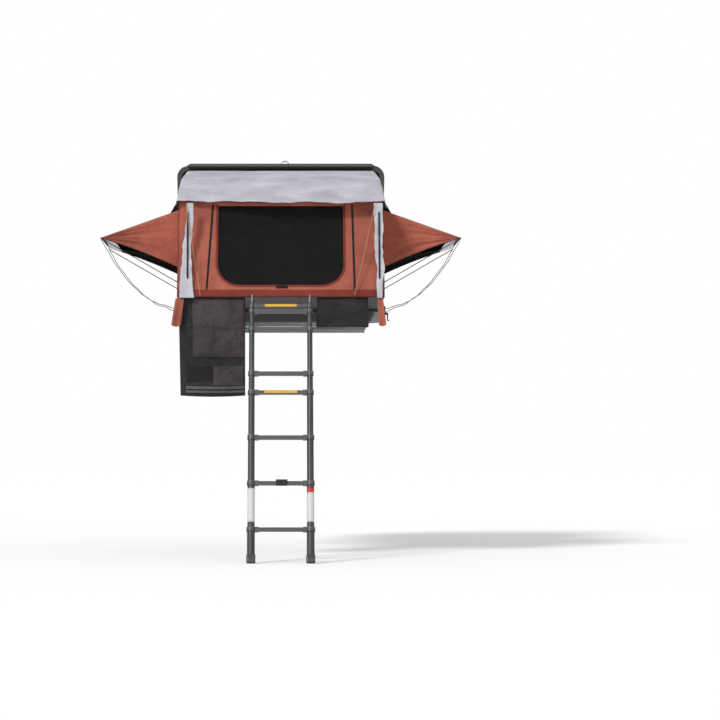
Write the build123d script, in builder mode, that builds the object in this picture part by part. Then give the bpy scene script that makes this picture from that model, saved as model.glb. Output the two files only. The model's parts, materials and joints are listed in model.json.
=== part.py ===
from build123d import *
import os
from math import atan2, cos, degrees, hypot, pi, radians, sin, tan

# Roof top tent with a hard shell, standing open, in millimetres.
# X runs along the carrying roof bars, -Y is the side with the ladder, +Z is up.
# The origin is the middle of the base, on the underside of its mounting rails.

os.makedirs("parts", exist_ok=True)

# Floor boards
floor_half_width = 700
floor_underside = 110
floor_thickness = 25
floor_top = floor_underside + floor_thickness
fold_line_y = -560
board_gap = 2
rear_board_inset = 31
front_edge_y = -1660
board_corner_r = 12

# Mounting rails
rail_height = 25
rail_end_inset = 50
rail_length = 2 * (floor_half_width - rail_end_inset)
rail_spacing = 720
rail_width = 44
rail_wall = 4
rail_lip = 14
bolt_spacing = 800
bolt_hole_r = 4.5

# Base tray
base_margin = 65
base_half_x = floor_half_width + base_margin
base_half_y = 605
rear_board_back = base_half_y - rear_board_inset
base_corner_r = 70
base_wall = 5
band_bottom = 91
rim_top = 137
rim_flange = 25
pan_inset = 70
pan_half_x = base_half_x - pan_inset
pan_half_y = base_half_y - pan_inset
pan_corner_r = 62
pan_draft = 31
front_wall_top = 109
groove_depth = 2

# Floor beams
beam_width = 40
beam_wall = 3
beam_pitch = 320
beam_half_length = pan_half_y - 50

# Fold hinge of the floor
fold_axis_z = 203
hinge_plate = 4
hinge_eye_r = 14
hinge_pin_r = 5
running_gap = 0.3
bore_gap = 0.05

# Mattress
mattress_inset = 70
mattress_half_width = floor_half_width - mattress_inset
mattress_thickness = 45
mattress_round = 14

# Lid
lid_axis_y = base_half_y + 35
lid_open_angle = 60.5
lid_overhang = 25
lid_half_x = base_half_x + lid_overhang
lid_half_y = base_half_y + lid_overhang
lid_corner_r = 95
lid_ring_width = 41
lid_ring_height = 19
seal_height = 3
lid_step = 6
lid_wall = 5
lid_draft = 16
lid_top_z = 377
lid_edge_round = 18
lining_thickness = 8
lining_inset = 100
lining_groove = 5
rib_width = 70
rib_height = 5
rib_pitch = 300
rib_end_inset = 215

# Hoops
hoop_r = 9
hoop_wall = 1.5
hoop_pivot_z = 191
hoop_pin_r = 4
hoop_eye_r = 12
front_hoop_y = -680
front_hoop_inset = 28
front_hoop_x = floor_half_width - front_hoop_inset
front_hoop_length = 970
front_hoop_angle = 37.4
middle_hoop_y = -645
middle_hoop_inset = 50
middle_hoop_x = floor_half_width - middle_hoop_inset
middle_hoop_length = 840
middle_hoop_angle = 75
hoop_bend_r = 90

# Tent cloth
cloth = 3
tent_half_width = floor_half_width - 4
cloth_over_hoop = 6
front_foot_y = front_edge_y + 2
split_clear = 2

# Ladder
ladder_lean = 74
ladder_pivot_z = 78
stile_x = 194
top_tube_r = 15
tube_step = 1.5
tube_slack = 0.3
tube_length = 347
full_pitch = 312
nested_pitch = 36
first_rung = 32
third_gap = 129
fifth_gap = 132
lowest_tube = 205
foot_height = 22
lowest_closed_pitch = 145
collar_wall = 4.5
collar_height = 30
socket_length = 22
rung_depth = 34
rung_height = 24
rung_wall = 2


def save(built, node_name):
    built.part.label = node_name
    export_step(built.part, f"parts/{node_name}.step")


# Mounting rails: hat section extrusions, their bolt holes free for a carrier's clamps
with BuildPart() as mounting_rails:
    with BuildSketch(Plane.YZ) as hat_section:
        with Locations((-rail_spacing / 2, rail_height / 2), (rail_spacing / 2, rail_height / 2)):
            Rectangle(rail_width + 2 * rail_lip, rail_height)
            with Locations((0, rail_wall / 2)):
                Rectangle(rail_width - 2 * rail_wall, rail_height - rail_wall, mode=Mode.SUBTRACT)
            with GridLocations(rail_width + rail_lip, 0, 2, 1):
                with Locations((0, -rail_wall / 2)):
                    Rectangle(rail_lip, rail_height - rail_wall, mode=Mode.SUBTRACT)
    extrude(amount=rail_length / 2, both=True)
    with GridLocations(bolt_spacing, rail_spacing, 2, 2):
        Hole(bolt_hole_r)
save(mounting_rails, "mounting_rails")

# Base tray: a drafted pan under a wide rim band, its front wall cut down for the floor
inner_x = base_half_x - base_wall
inner_y = base_half_y - base_wall
pan_depth = band_bottom - rail_height
with BuildPart() as base_tray:
    with BuildSketch(Plane.XY.offset(band_bottom)):
        RectangleRounded(2 * pan_half_x, 2 * pan_half_y, pan_corner_r)
    extrude(amount=-pan_depth, taper=pan_draft)
    with BuildSketch(Plane.XY.offset(band_bottom)):
        RectangleRounded(2 * base_half_x, 2 * base_half_y, base_corner_r)
    extrude(amount=rim_top - band_bottom)
    fillet(base_tray.edges().filter_by_position(Axis.Z, rim_top - 1, rim_top + 1), 3)
    with BuildSketch(Plane.XY.offset(band_bottom + base_wall)):
        RectangleRounded(2 * (pan_half_x - base_wall), 2 * (pan_half_y - base_wall), pan_corner_r - base_wall)
    extrude(amount=-pan_depth, taper=pan_draft, mode=Mode.SUBTRACT)
    with BuildSketch(Plane.XY.offset(band_bottom + base_wall)):
        RectangleRounded(2 * inner_x, 2 * inner_y, base_corner_r - base_wall)
    extrude(amount=rim_top - band_bottom - 2 * base_wall, mode=Mode.SUBTRACT)
    with BuildSketch(Plane.XY.offset(rim_top)):
        RectangleRounded(2 * (base_half_x - rim_flange), 2 * (base_half_y - rim_flange), base_corner_r - rim_flange)
    extrude(amount=-2 * base_wall, mode=Mode.SUBTRACT)
    notch_half = floor_half_width + 12
    with Locations((0, -base_half_y, front_wall_top)):
        Box(2 * notch_half, 4 * rim_flange, rim_top, align=(Align.CENTER, Align.CENTER, Align.MIN),
            mode=Mode.SUBTRACT)
    with BuildSketch(Plane.XY.offset(rail_height)):
        with GridLocations(0, 110, 1, 5):
            SlotOverall(1000, 34)
    extrude(amount=groove_depth, mode=Mode.SUBTRACT)
save(base_tray, "base_tray")

# Beams that carry the rear board, with a batten under its front and back edge
tray_floor = rail_height + base_wall
batten_y = pan_half_y + 18
with BuildPart() as floor_beams:
    with BuildSketch(Plane.XZ.offset(-beam_half_length)):
        with Locations((0, (tray_floor + floor_underside) / 2)):
            with GridLocations(beam_pitch, 0, 4, 1):
                Rectangle(beam_width, floor_underside - tray_floor)
                Rectangle(beam_width - 2 * beam_wall, floor_underside - tray_floor - 2 * beam_wall,
                          mode=Mode.SUBTRACT)
    extrude(amount=2 * beam_half_length)
    with Locations((0, -batten_y + 8, band_bottom + base_wall), (0, batten_y, band_bottom + base_wall)):
        Box(2 * pan_half_x - 60, 24, floor_underside - band_bottom - base_wall,
            align=(Align.CENTER, Align.CENTER, Align.MIN))
save(floor_beams, "floor_beams")


# Sandwich boards with a rolled edge
def floor_board(front_y, back_y, rounded_end):
    with BuildPart() as board:
        with Locations((0, (front_y + back_y) / 2, floor_underside)):
            Box(2 * floor_half_width, back_y - front_y, floor_thickness,
                align=(Align.CENTER, Align.CENTER, Align.MIN))
        fillet(board.edges().filter_by(Axis.Z).group_by(Axis.Y)[rounded_end], board_corner_r)
        chamfer(board.faces().sort_by(Axis.Z)[-1].edges(), 1.5)
    return board


save(floor_board(fold_line_y + board_gap, rear_board_back, -1), "rear_floor_board")
save(floor_board(front_edge_y, fold_line_y - board_gap, 0), "front_floor_board")

# Fold hinge: rear plates on the board's sides, front plates outside them, one pin each side
fold_eye = (fold_line_y, fold_axis_z)
front_plate_x = floor_half_width + hinge_plate + running_gap
pin_out = front_plate_x + hinge_plate + running_gap
with BuildPart() as rear_hinge_plates:
    with BuildSketch(Plane.YZ.offset(floor_half_width)):
        with BuildLine():
            Polyline((fold_line_y + board_gap, floor_underside), (fold_line_y + 102, floor_underside),
                     (fold_line_y + 102, floor_top), (fold_line_y + hinge_eye_r, fold_axis_z),
                     (fold_line_y - hinge_eye_r, fold_axis_z), (fold_line_y - 8, floor_top),
                     (fold_line_y + board_gap, floor_underside))
        make_face()
        with Locations(fold_eye):
            Circle(hinge_eye_r)
            Circle(hinge_pin_r + bore_gap, mode=Mode.SUBTRACT)
    extrude(amount=hinge_plate)
    with BuildSketch(Plane.YZ.offset(floor_half_width)):
        with Locations(fold_eye):
            Circle(hinge_pin_r)
    extrude(amount=pin_out - floor_half_width)
    with BuildSketch(Plane.YZ.offset(pin_out)):
        with Locations(fold_eye):
            Circle(hinge_pin_r + 4)
    extrude(amount=4)
    fillet(rear_hinge_plates.edges().sort_by(Axis.X)[-1], 1.5)
    with BuildSketch(Plane.YZ.offset(floor_half_width - 3)):
        with Locations(fold_eye):
            Circle(hinge_pin_r + 3)
    extrude(amount=3)
    mirror(about=Plane.YZ)
save(rear_hinge_plates, "rear_hinge_plates")

with BuildPart() as front_hinge_plates:
    with BuildSketch(Plane.YZ.offset(front_plate_x)):
        with BuildLine():
            Polyline((fold_line_y - 12, floor_underside), (fold_line_y - 102, floor_underside),
                     (fold_line_y - 102, floor_top), (fold_line_y - 24, floor_top),
                     (fold_line_y - hinge_eye_r, fold_axis_z), (fold_line_y + hinge_eye_r, fold_axis_z),
                     (fold_line_y - 2, floor_top), (fold_line_y - 12, floor_underside))
        make_face()
        with Locations(fold_eye):
            Circle(hinge_eye_r)
            Circle(hinge_pin_r + bore_gap, mode=Mode.SUBTRACT)
    extrude(amount=hinge_plate)
    with BuildSketch(Plane.YZ.offset(floor_half_width)):
        with Locations((fold_line_y - 62, (floor_underside + floor_top) / 2)):
            Rectangle(80, floor_thickness)
    extrude(amount=hinge_plate + running_gap)
    mirror(about=Plane.YZ)
save(front_hinge_plates, "front_hinge_plates")



# Mattress halves, crowned foam with rounded sides
def mattress(front_y, back_y):
    with BuildPart() as pad:
        with Locations((0, (front_y + back_y) / 2, floor_top + running_gap)):
            Box(2 * mattress_half_width, back_y - front_y, mattress_thickness,
                align=(Align.CENTER, Align.CENTER, Align.MIN))
        fillet(pad.edges().filter_by(Axis.Z), 60)
        fillet(pad.faces().sort_by(Axis.Z)[-1].edges(), mattress_round)
        fillet(pad.faces().sort_by(Axis.Z)[0].edges(), mattress_round / 2)
    return pad


save(mattress(fold_line_y + 8, rear_board_back - 10), "rear_mattress")
save(mattress(front_edge_y + 30, fold_line_y - 8), "front_mattress")

# The lid is drawn in its own closed position, on a plane tilted to where it stands open
tilt = radians(lid_open_angle)
lid_plane = Plane(origin=(0, lid_axis_y, rim_top), x_dir=(1, 0, 0), z_dir=(0, sin(tilt), cos(tilt)))
lid_middle = (0, -lid_axis_y)
ring_top = seal_height + lid_ring_height
lid_height = lid_top_z - rim_top


def lid_point(across, row_y, row_z):
    """Where a point of the closed lid is while the lid stands open."""
    return lid_plane.from_local_coords((across, row_y - lid_axis_y, row_z - rim_top))


# Rim: a broad dark ring with rounded edges, carrying the shell
apron_y = -(lid_half_y - 9) - lid_axis_y
ring_inner_x = lid_half_x - lid_ring_width
ring_inner_y = lid_half_y - lid_ring_width
with BuildPart() as lid_rim:
    with BuildSketch(lid_plane.offset(seal_height)):
        with Locations(lid_middle):
            RectangleRounded(2 * lid_half_x, 2 * lid_half_y, lid_corner_r)
            RectangleRounded(2 * ring_inner_x, 2 * ring_inner_y, lid_corner_r - lid_ring_width,
                             mode=Mode.SUBTRACT)
    extrude(amount=lid_ring_height)
    fillet(lid_rim.edges().filter_by(lambda e: max(
        abs(lid_plane.to_local_coords(e.center()).X) / lid_half_x,
        abs(lid_plane.to_local_coords(e.center()).Y + lid_axis_y) / lid_half_y) > 0.965
        and abs(lid_plane.to_local_coords(e.center()).Z - seal_height - lid_ring_height / 2) > 5), 5)
save(lid_rim, "lid_rim")

# Lid shell: a drafted moulding with pressed ribs, standing in from the rim
shell_low = ring_top
shell_rise = lid_height - shell_low
shell_x = lid_half_x - lid_step
shell_y = lid_half_y - lid_step
with BuildPart() as lid_shell:
    with BuildSketch(lid_plane.offset(shell_low)):
        with Locations(lid_middle):
            RectangleRounded(2 * shell_x, 2 * shell_y, lid_corner_r)
    extrude(amount=shell_rise, taper=lid_draft)
    crown = lid_shell.faces().sort_by(lambda f: lid_plane.to_local_coords(f.center()).Z)[-1]
    fillet(crown.edges(), lid_edge_round)
    with BuildSketch(lid_plane.offset(shell_low)):
        with Locations(lid_middle):
            RectangleRounded(2 * (shell_x - lid_wall), 2 * (shell_y - lid_wall), lid_corner_r - lid_wall)
    extrude(amount=shell_rise - lid_wall, taper=lid_draft, mode=Mode.SUBTRACT)
    with BuildSketch(lid_plane.offset(lid_height)):
        with Locations(lid_middle):
            with GridLocations(0, rib_pitch, 1, 3):
                SlotOverall(2 * (lid_half_x - rib_end_inset), rib_width)
    extrude(amount=rib_height, taper=30)
save(lid_shell, "lid_shell")

# Quilted lining under the crown
lining_half_x = floor_half_width - 10
lining_half_y = lid_half_y - lining_inset
with BuildPart() as lid_lining:
    with BuildSketch(lid_plane.offset(lid_height - lid_wall)):
        with Locations(lid_middle):
            RectangleRounded(2 * lining_half_x, 2 * lining_half_y, 40)
    extrude(amount=-lining_thickness)
    with BuildSketch(lid_plane.offset(lid_height - lid_wall - lining_thickness)):
        with Locations(lid_middle):
            with GridLocations(lining_half_x / 3, 0, 6, 1):
                Rectangle(lining_groove, 2 * lining_half_y)
            with GridLocations(0, lining_half_y / 2.5, 1, 4):
                Rectangle(2 * lining_half_x, lining_groove)
    extrude(amount=2, mode=Mode.SUBTRACT)
save(lid_lining, "lid_lining")

# Rubber seal under the rim, and the apron that closes the low front wall
with BuildPart() as lid_seal:
    with BuildSketch(lid_plane.offset(running_gap)):
        with Locations(lid_middle):
            RectangleRounded(2 * (base_half_x - 5), 2 * (base_half_y - 5), base_corner_r)
            RectangleRounded(2 * (base_half_x - 14), 2 * (base_half_y - 14), base_corner_r - 9,
                             mode=Mode.SUBTRACT)
    extrude(amount=seal_height - running_gap)
    with BuildSketch(lid_plane.offset(seal_height)):
        with Locations((0, apron_y)):
            Rectangle(2 * floor_half_width, 3)
    extrude(amount=-(rim_top + seal_height - floor_top + 18))
save(lid_seal, "lid_seal")

# Lid hinges: two leaves on the base band, two on the rim, a pin through each pair
hinge_x = 450
knuckle_r = 8
lid_pin_r = 4
knuckle_length = 30
with BuildPart() as base_hinge_leaves:
    with BuildSketch(Plane.YZ.offset(hinge_x - knuckle_length / 2)):
        with BuildLine():
            Polyline((base_half_y, band_bottom + 6), (base_half_y + 6, band_bottom + 6),
                     (lid_axis_y + knuckle_r, rim_top), (lid_axis_y - knuckle_r, rim_top),
                     (base_half_y, rim_top - 16), (base_half_y, band_bottom + 6))
        make_face()
        with Locations((lid_axis_y, rim_top)):
            Circle(knuckle_r)
            Circle(lid_pin_r + bore_gap, mode=Mode.SUBTRACT)
    extrude(amount=knuckle_length)
    mirror(about=Plane.YZ)
save(base_hinge_leaves, "base_hinge_leaves")

leaf_z = seal_height + 1
with BuildPart() as lid_hinge_leaves:
    for side in (-1, 1):
        start = hinge_x + side * (knuckle_length + 1) / 2
        with BuildSketch(Plane(origin=(start, lid_axis_y, rim_top), x_dir=lid_plane.y_dir,
                               z_dir=(side, 0, 0) if side > 0 else (-1, 0, 0))):
            Circle(knuckle_r)
            Circle(lid_pin_r, mode=Mode.SUBTRACT)
        extrude(amount=16)
    with BuildSketch(lid_plane.offset(leaf_z + 7)):
        with Locations((hinge_x, -(lid_axis_y - lid_half_y) + 2.5)):
            Rectangle(64, 5)
    extrude(amount=ring_top - leaf_z - 7)
    for side in (-1, 1):
        with BuildSketch(lid_plane.offset(leaf_z)):
            with Locations((hinge_x + side * (knuckle_length / 2 + 9), -(lid_axis_y - lid_half_y) + 3)):
                Rectangle(15, 6)
        extrude(amount=ring_top - leaf_z)
    with BuildSketch(Plane.YZ.offset(hinge_x - 36)):
        with Locations((lid_axis_y, rim_top)):
            Circle(lid_pin_r)
    extrude(amount=72)
    mirror(about=Plane.YZ)
save(lid_hinge_leaves, "lid_hinge_leaves")

# Pull strap on the front of the rim, a webbing loop
strap_x = 32
with BuildPart() as lid_pull_strap:
    loop_plane = Plane(origin=lid_point(strap_x, -lid_half_y, rim_top + 14), x_dir=(1, 0, 0),
                       z_dir=lid_plane.z_dir)
    with BuildSketch(loop_plane):
        with BuildLine():
            ThreePointArc((-32, 0), (-4, -34), (32, 0))
            Line((32, 0), (28, 0))
            ThreePointArc((28, 0), (-4, -30), (-28, 0))
            Line((-28, 0), (-32, 0))
        make_face()
    extrude(amount=14)
save(lid_pull_strap, "lid_pull_strap")

# Two tabs under the rim that hold the top edge of the rain cover
tab_pivot = lid_point(0, -ring_inner_y, rim_top + seal_height - running_gap)
tab_x = 448
with BuildPart() as cover_tabs:
    with Locations((-tab_x, tab_pivot.Y, tab_pivot.Z), (tab_x, tab_pivot.Y, tab_pivot.Z)):
        Box(36, 4, 38, align=(Align.CENTER, Align.MAX, Align.MAX))
    fillet(cover_tabs.edges().filter_by(Axis.Y), 4)
save(cover_tabs, "cover_tabs")

# Side latches: a lever on each side that turns up over the rim's step
latch_y = -150
latch_pivot_x = base_half_x + 35
latch_pivot_z = 112
latch_length = 48


def latch_lever(side):
    with BuildPart() as lever:
        with BuildSketch(Plane.XZ.offset(-latch_y - 19)):
            with BuildLine():
                Polyline((latch_pivot_x - 5, latch_pivot_z + 5), (latch_pivot_x + 5, latch_pivot_z + 5),
                         (latch_pivot_x + 5, latch_pivot_z - latch_length),
                         (latch_pivot_x + 14, latch_pivot_z - latch_length - 3),
                         (latch_pivot_x + 14, latch_pivot_z - latch_length - 7),
                         (latch_pivot_x, latch_pivot_z - latch_length - 7),
                         (latch_pivot_x - 5, latch_pivot_z + 5))
            make_face()
            with Locations((latch_pivot_x, latch_pivot_z)):
                Circle(3 + bore_gap, mode=Mode.SUBTRACT)
        extrude(amount=38)
        if side < 0:
            mirror(about=Plane.YZ, mode=Mode.REPLACE)
    return lever


save(latch_lever(-1), "latch_lever_left")
save(latch_lever(1), "latch_lever_right")

# Gas struts, from the base flange to the inside of the rim
strut_x = base_half_x - 32
strut_r = 9
strut_rod_r = 4
strut_low = (-50, 150)
strut_reach = 330
strut_body = 290
strut_rod = 338
strut_local = (-strut_reach, 13)
strut_high_y = lid_axis_y - strut_reach * cos(tilt) + strut_local[1] * sin(tilt)
strut_high_z = rim_top + strut_reach * sin(tilt) + strut_local[1] * cos(tilt)
open_length = hypot(strut_high_y - strut_low[0], strut_high_z - strut_low[1])
open_rise = atan2(strut_high_z - strut_low[1], strut_high_y - strut_low[0])
closed_length = hypot(lid_axis_y - strut_reach - strut_low[0], rim_top + strut_local[1] - strut_low[1])
closed_rise = atan2(rim_top + strut_local[1] - strut_low[1], lid_axis_y - strut_reach - strut_low[0])
print("strut stroke", round(open_length - closed_length, 3), "turn", round(degrees(open_rise - closed_rise), 4))
print("strut top", strut_high_y, strut_high_z, "direction", cos(open_rise), sin(open_rise))


def strut_plane(side, along):
    direction = (0, cos(open_rise), sin(open_rise))
    start = Vector(side * strut_x, strut_low[0], strut_low[1]) + Vector(*direction) * along
    return Plane(origin=start, x_dir=(1, 0, 0), z_dir=direction)


def strut_cylinder(side):
    with BuildPart() as cylinder:
        with BuildSketch(strut_plane(side, 12)):
            Circle(strut_r)
            Circle(strut_rod_r + 0.5, mode=Mode.SUBTRACT)
        extrude(amount=strut_body - 12)
        with BuildSketch(strut_plane(side, 8)):
            Circle(strut_r - 2)
        extrude(amount=8)
        with BuildSketch(Plane(origin=(side * strut_x - 4, *strut_low), z_dir=(1, 0, 0))):
            Circle(9)
            Circle(3 + bore_gap, mode=Mode.SUBTRACT)
        extrude(amount=8)
    return cylinder


def strut_piston(side):
    with BuildPart() as piston:
        with BuildSketch(strut_plane(side, open_length - strut_rod)):
            Circle(strut_rod_r)
        extrude(amount=strut_rod - 8)
        with BuildSketch(Plane(origin=(side * strut_x - 5, strut_high_y, strut_high_z), z_dir=(1, 0, 0))):
            Circle(9)
            Circle(3 + 0.5, mode=Mode.SUBTRACT)
        extrude(amount=10)
    return piston


for side, word in ((-1, "left"), (1, "right")):
    save(strut_cylinder(side), f"strut_cylinder_{word}")
    save(strut_piston(side), f"strut_piston_{word}")

post_x = strut_x + strut_r + 1

# Fittings on the base: latch brackets, feet of the gas struts, eyelets for the awning cords
eyelet_places = [(-470, 122), (-410, 106)]
with BuildPart() as base_fittings:
    with BuildSketch(Plane.XZ.offset(-latch_y - 20)):
        with BuildLine():
            Polyline((base_half_x, band_bottom + 4), (latch_pivot_x - 8, latch_pivot_z - 10),
                     (latch_pivot_x - 8, latch_pivot_z + 10), (base_half_x, rim_top - 6),
                     (base_half_x, band_bottom + 4))
        make_face()
    extrude(amount=40)
    with BuildSketch(Plane.XZ.offset(-latch_y - 24)):
        with Locations((latch_pivot_x, latch_pivot_z)):
            Circle(3)
    extrude(amount=48)
    for end in (-24, 20):
        with BuildSketch(Plane.XZ.offset(-latch_y + end)):
            with Locations((latch_pivot_x - 9, latch_pivot_z)):
                Rectangle(18 + 6, 12)
        extrude(amount=4)
    with BuildSketch(Plane.YZ.offset(post_x)):
        with Locations((strut_low[0], rim_top + 11.5)):
            Rectangle(18, 23)
    extrude(amount=3)
    with BuildSketch(Plane.YZ.offset(strut_x - 5)):
        with Locations(strut_low):
            Circle(3)
    extrude(amount=post_x - strut_x + 5)
    for row_y, row_z in eyelet_places:
        with BuildSketch(Plane.YZ.offset(base_half_x)):
            with Locations((row_y, row_z)):
                Circle(6)
        extrude(amount=3)
    mirror(about=Plane.YZ)
save(base_fittings, "base_fittings")

with BuildPart() as strut_brackets:
    with BuildSketch(Plane(origin=(ring_inner_x, strut_high_y, strut_high_z), x_dir=lid_plane.y_dir,
                           z_dir=(-1, 0, 0))):
        Rectangle(24, 14)
    extrude(amount=4)
    with BuildSketch(Plane(origin=(ring_inner_x - 4, strut_high_y, strut_high_z), z_dir=(-1, 0, 0))):
        Circle(3)
    extrude(amount=ring_inner_x - 4 - strut_x + 5)
    mirror(about=Plane.YZ)
save(strut_brackets, "strut_brackets")


# Hoops: bent tubes that stand in brackets on the front board
def hoop(half_width, pivot_y, length, angle):
    lean = radians(angle)
    hoop_plane = Plane(origin=(0, pivot_y, hoop_pivot_z), x_dir=(1, 0, 0), z_dir=(0, sin(lean), cos(lean)))
    with BuildPart() as bow:
        with BuildLine(hoop_plane) as bend:
            FilletPolyline((-half_width, -hoop_eye_r + 3), (-half_width, -length), (half_width, -length),
                           (half_width, -hoop_eye_r + 3), radius=hoop_bend_r)
        with BuildSketch(Plane(origin=bend.line @ 0, z_dir=bend.line % 0)):
            Circle(hoop_r)
            Circle(hoop_r - hoop_wall, mode=Mode.SUBTRACT)
        sweep()
        for side in (-1, 1):
            with BuildSketch(Plane(origin=(side * half_width - hoop_r - 0.5, pivot_y, hoop_pivot_z),
                                   z_dir=(1, 0, 0))):
                Circle(hoop_eye_r)
                Circle(hoop_pin_r + bore_gap, mode=Mode.SUBTRACT)
            extrude(amount=2 * hoop_r + 1)
    return bow


save(hoop(front_hoop_x, front_hoop_y, front_hoop_length, front_hoop_angle), "front_hoop")
save(hoop(middle_hoop_x, middle_hoop_y, middle_hoop_length, middle_hoop_angle), "middle_hoop")

# Brackets: plates beside the hoop feet with the pins they turn on
front_plate = front_hoop_x + hoop_r + 1
middle_plate = middle_hoop_x - hoop_r - 1
with BuildPart() as hoop_brackets:
    for inner_face, thick, pivot_y in ((front_plate, 4, front_hoop_y), (middle_plate - 4, 4, middle_hoop_y - 3)):
        with BuildSketch(Plane.YZ.offset(inner_face)):
            with Locations((pivot_y, (floor_top + hoop_pivot_z) / 2)):
                Rectangle(2 * hoop_eye_r - 1, hoop_pivot_z - floor_top)
            with Locations((pivot_y, hoop_pivot_z)):
                Circle(hoop_eye_r - 0.5)
        extrude(amount=thick)
    with BuildSketch(Plane.YZ.offset(front_hoop_x - hoop_r)):
        with Locations((front_hoop_y, hoop_pivot_z)):
            Circle(hoop_pin_r)
    extrude(amount=2 * hoop_r + 2)
    with BuildSketch(Plane.YZ.offset(middle_plate)):
        with Locations((middle_hoop_y, hoop_pivot_z)):
            Circle(hoop_pin_r)
    extrude(amount=2 * hoop_r + 1)
    mirror(about=Plane.YZ)
save(hoop_brackets, "hoop_brackets")

# Tent body: one skin over the hoops, cut at the fold line
tent_out = hoop_r + cloth_over_hoop
front_top = (front_hoop_y - front_hoop_length * cos(radians(front_hoop_angle)),
             hoop_pivot_z + front_hoop_length * sin(radians(front_hoop_angle)))
middle_top = (middle_hoop_y - middle_hoop_length * cos(radians(middle_hoop_angle)),
              hoop_pivot_z + middle_hoop_length * sin(radians(middle_hoop_angle)))
front_crest = (front_top[0] - tent_out * 0.6, front_top[1] + tent_out)
middle_crest = (middle_top[0] - tent_out * 0.2, middle_top[1] + tent_out)
lid_edge = lid_point(0, -ring_inner_y, rim_top - 2)
roof_slope = (lid_edge.Z - middle_crest[1]) / (lid_edge.Y - middle_crest[0])


def roof_at(row_y):
    """Height of the cloth roof behind the middle hoop."""
    return middle_crest[1] + roof_slope * (row_y - middle_crest[0])


cloth_floor = floor_top + running_gap
with BuildPart() as tent_front:
    with BuildSketch(Plane.YZ.offset(-tent_half_width)):
        with BuildLine():
            Polyline((front_foot_y, cloth_floor), front_crest, middle_crest,
                     (fold_line_y - split_clear, roof_at(fold_line_y - split_clear)),
                     (fold_line_y - split_clear, cloth_floor), (front_foot_y, cloth_floor))
        make_face()
    extrude(amount=2 * tent_half_width)
    open_faces = [tent_front.faces().sort_by(Axis.Z)[0], tent_front.faces().sort_by(Axis.Y)[-1]]
    offset(amount=-cloth, openings=open_faces)
    door_plane = Plane(origin=(0, *(front_foot_y, cloth_floor)), x_dir=(1, 0, 0),
                       z_dir=(0, -(front_crest[1] - cloth_floor), front_crest[0] - front_foot_y))
    door_half, door_low, door_high, door_corner = 425, 62, 640, 150
    with BuildSketch(door_plane):
        with BuildLine():
            FilletPolyline((-door_half, door_high), (-door_half, door_low), (door_half, door_low),
                           (door_half, door_high), radius=door_corner)
            Line((door_half, door_high), (-door_half, door_high))
        make_face()
    extrude(amount=20, both=True, mode=Mode.SUBTRACT)
    window_front, window_back, window_low, window_high = -1270, -740, 350, 725
    with BuildSketch(Plane.YZ):
        with Locations(((window_front + window_back) / 2, (window_low + window_high) / 2)):
            RectangleRounded(window_back - window_front, window_high - window_low, 40)
    extrude(amount=2 * tent_half_width, both=True, mode=Mode.SUBTRACT)
save(tent_front, "tent_front")

hinge_side = lid_point(0, lid_axis_y - 75, rim_top - 2)
with BuildPart() as tent_rear:
    with BuildSketch(Plane.YZ.offset(-tent_half_width)):
        with BuildLine():
            Polyline((fold_line_y + split_clear, cloth_floor),
                     (fold_line_y + split_clear, roof_at(fold_line_y + split_clear)),
                     (lid_edge.Y - 4, lid_edge.Z - 2), (hinge_side.Y, hinge_side.Z),
                     (rear_board_back - 2, cloth_floor), (fold_line_y + split_clear, cloth_floor))
        make_face()
    extrude(amount=2 * tent_half_width)
    back_faces = [f for f in tent_rear.faces() if f.normal_at().Y > 0.5 and abs(f.normal_at().X) < 0.1]
    offset(amount=-cloth, openings=[tent_rear.faces().sort_by(Axis.Z)[0],
                                    tent_rear.faces().sort_by(Axis.Y)[0]] + back_faces)
save(tent_rear, "tent_rear")

# Insect mesh in the door and the side windows
with BuildPart() as insect_mesh:
    with BuildSketch(door_plane.offset(-cloth - 1.5)):
        with BuildLine():
            FilletPolyline((-door_half - 8, door_high + 8), (-door_half - 8, door_low - 8),
                           (door_half + 8, door_low - 8), (door_half + 8, door_high + 8),
                           radius=door_corner + 8)
            Line((door_half + 8, door_high + 8), (-door_half - 8, door_high + 8))
        make_face()
    extrude(amount=1.2)
    with BuildSketch(Plane.YZ.offset(tent_half_width - cloth - 1.5)):
        with Locations(((window_front + window_back) / 2, (window_low + window_high) / 2)):
            RectangleRounded(window_back - window_front + 16, window_high - window_low + 16, 48)
    extrude(amount=1.2)
    mirror(about=Plane.YZ)
save(insect_mesh, "insect_mesh")

# Door zips, with their sliders
with BuildPart() as door_zips:
    with BuildSketch(door_plane.offset(0.3)):
        with BuildLine():
            Polyline((-door_half - 81, 32), (-door_half - 69, 32), (-door_half - 31, 650),
                     (-door_half - 43, 650), (-door_half - 81, 32))
        make_face()
        with BuildLine():
            Polyline((door_half + 67, 32), (door_half + 79, 32), (door_half + 67, 650),
                     (door_half + 55, 650), (door_half + 67, 32))
        make_face()
    extrude(amount=2.5)
    with Locations(door_plane):
        with Locations((-door_half - 75, 44, 2.5), (door_half + 73, 44, 2.5)):
            Box(16, 30, 5, align=(Align.CENTER, Align.CENTER, Align.MIN))
save(door_zips, "door_zips")

# Rain cover: a second skin over the roof that runs out past the door
cover_gap = 0.5
cover_half = tent_half_width + 16
hem = (-1588, 752)
cover_front = (front_crest[0] - 2, front_crest[1] + cover_gap + cloth)
cover_middle = (middle_crest[0], middle_crest[1] + cover_gap + cloth)


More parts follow.
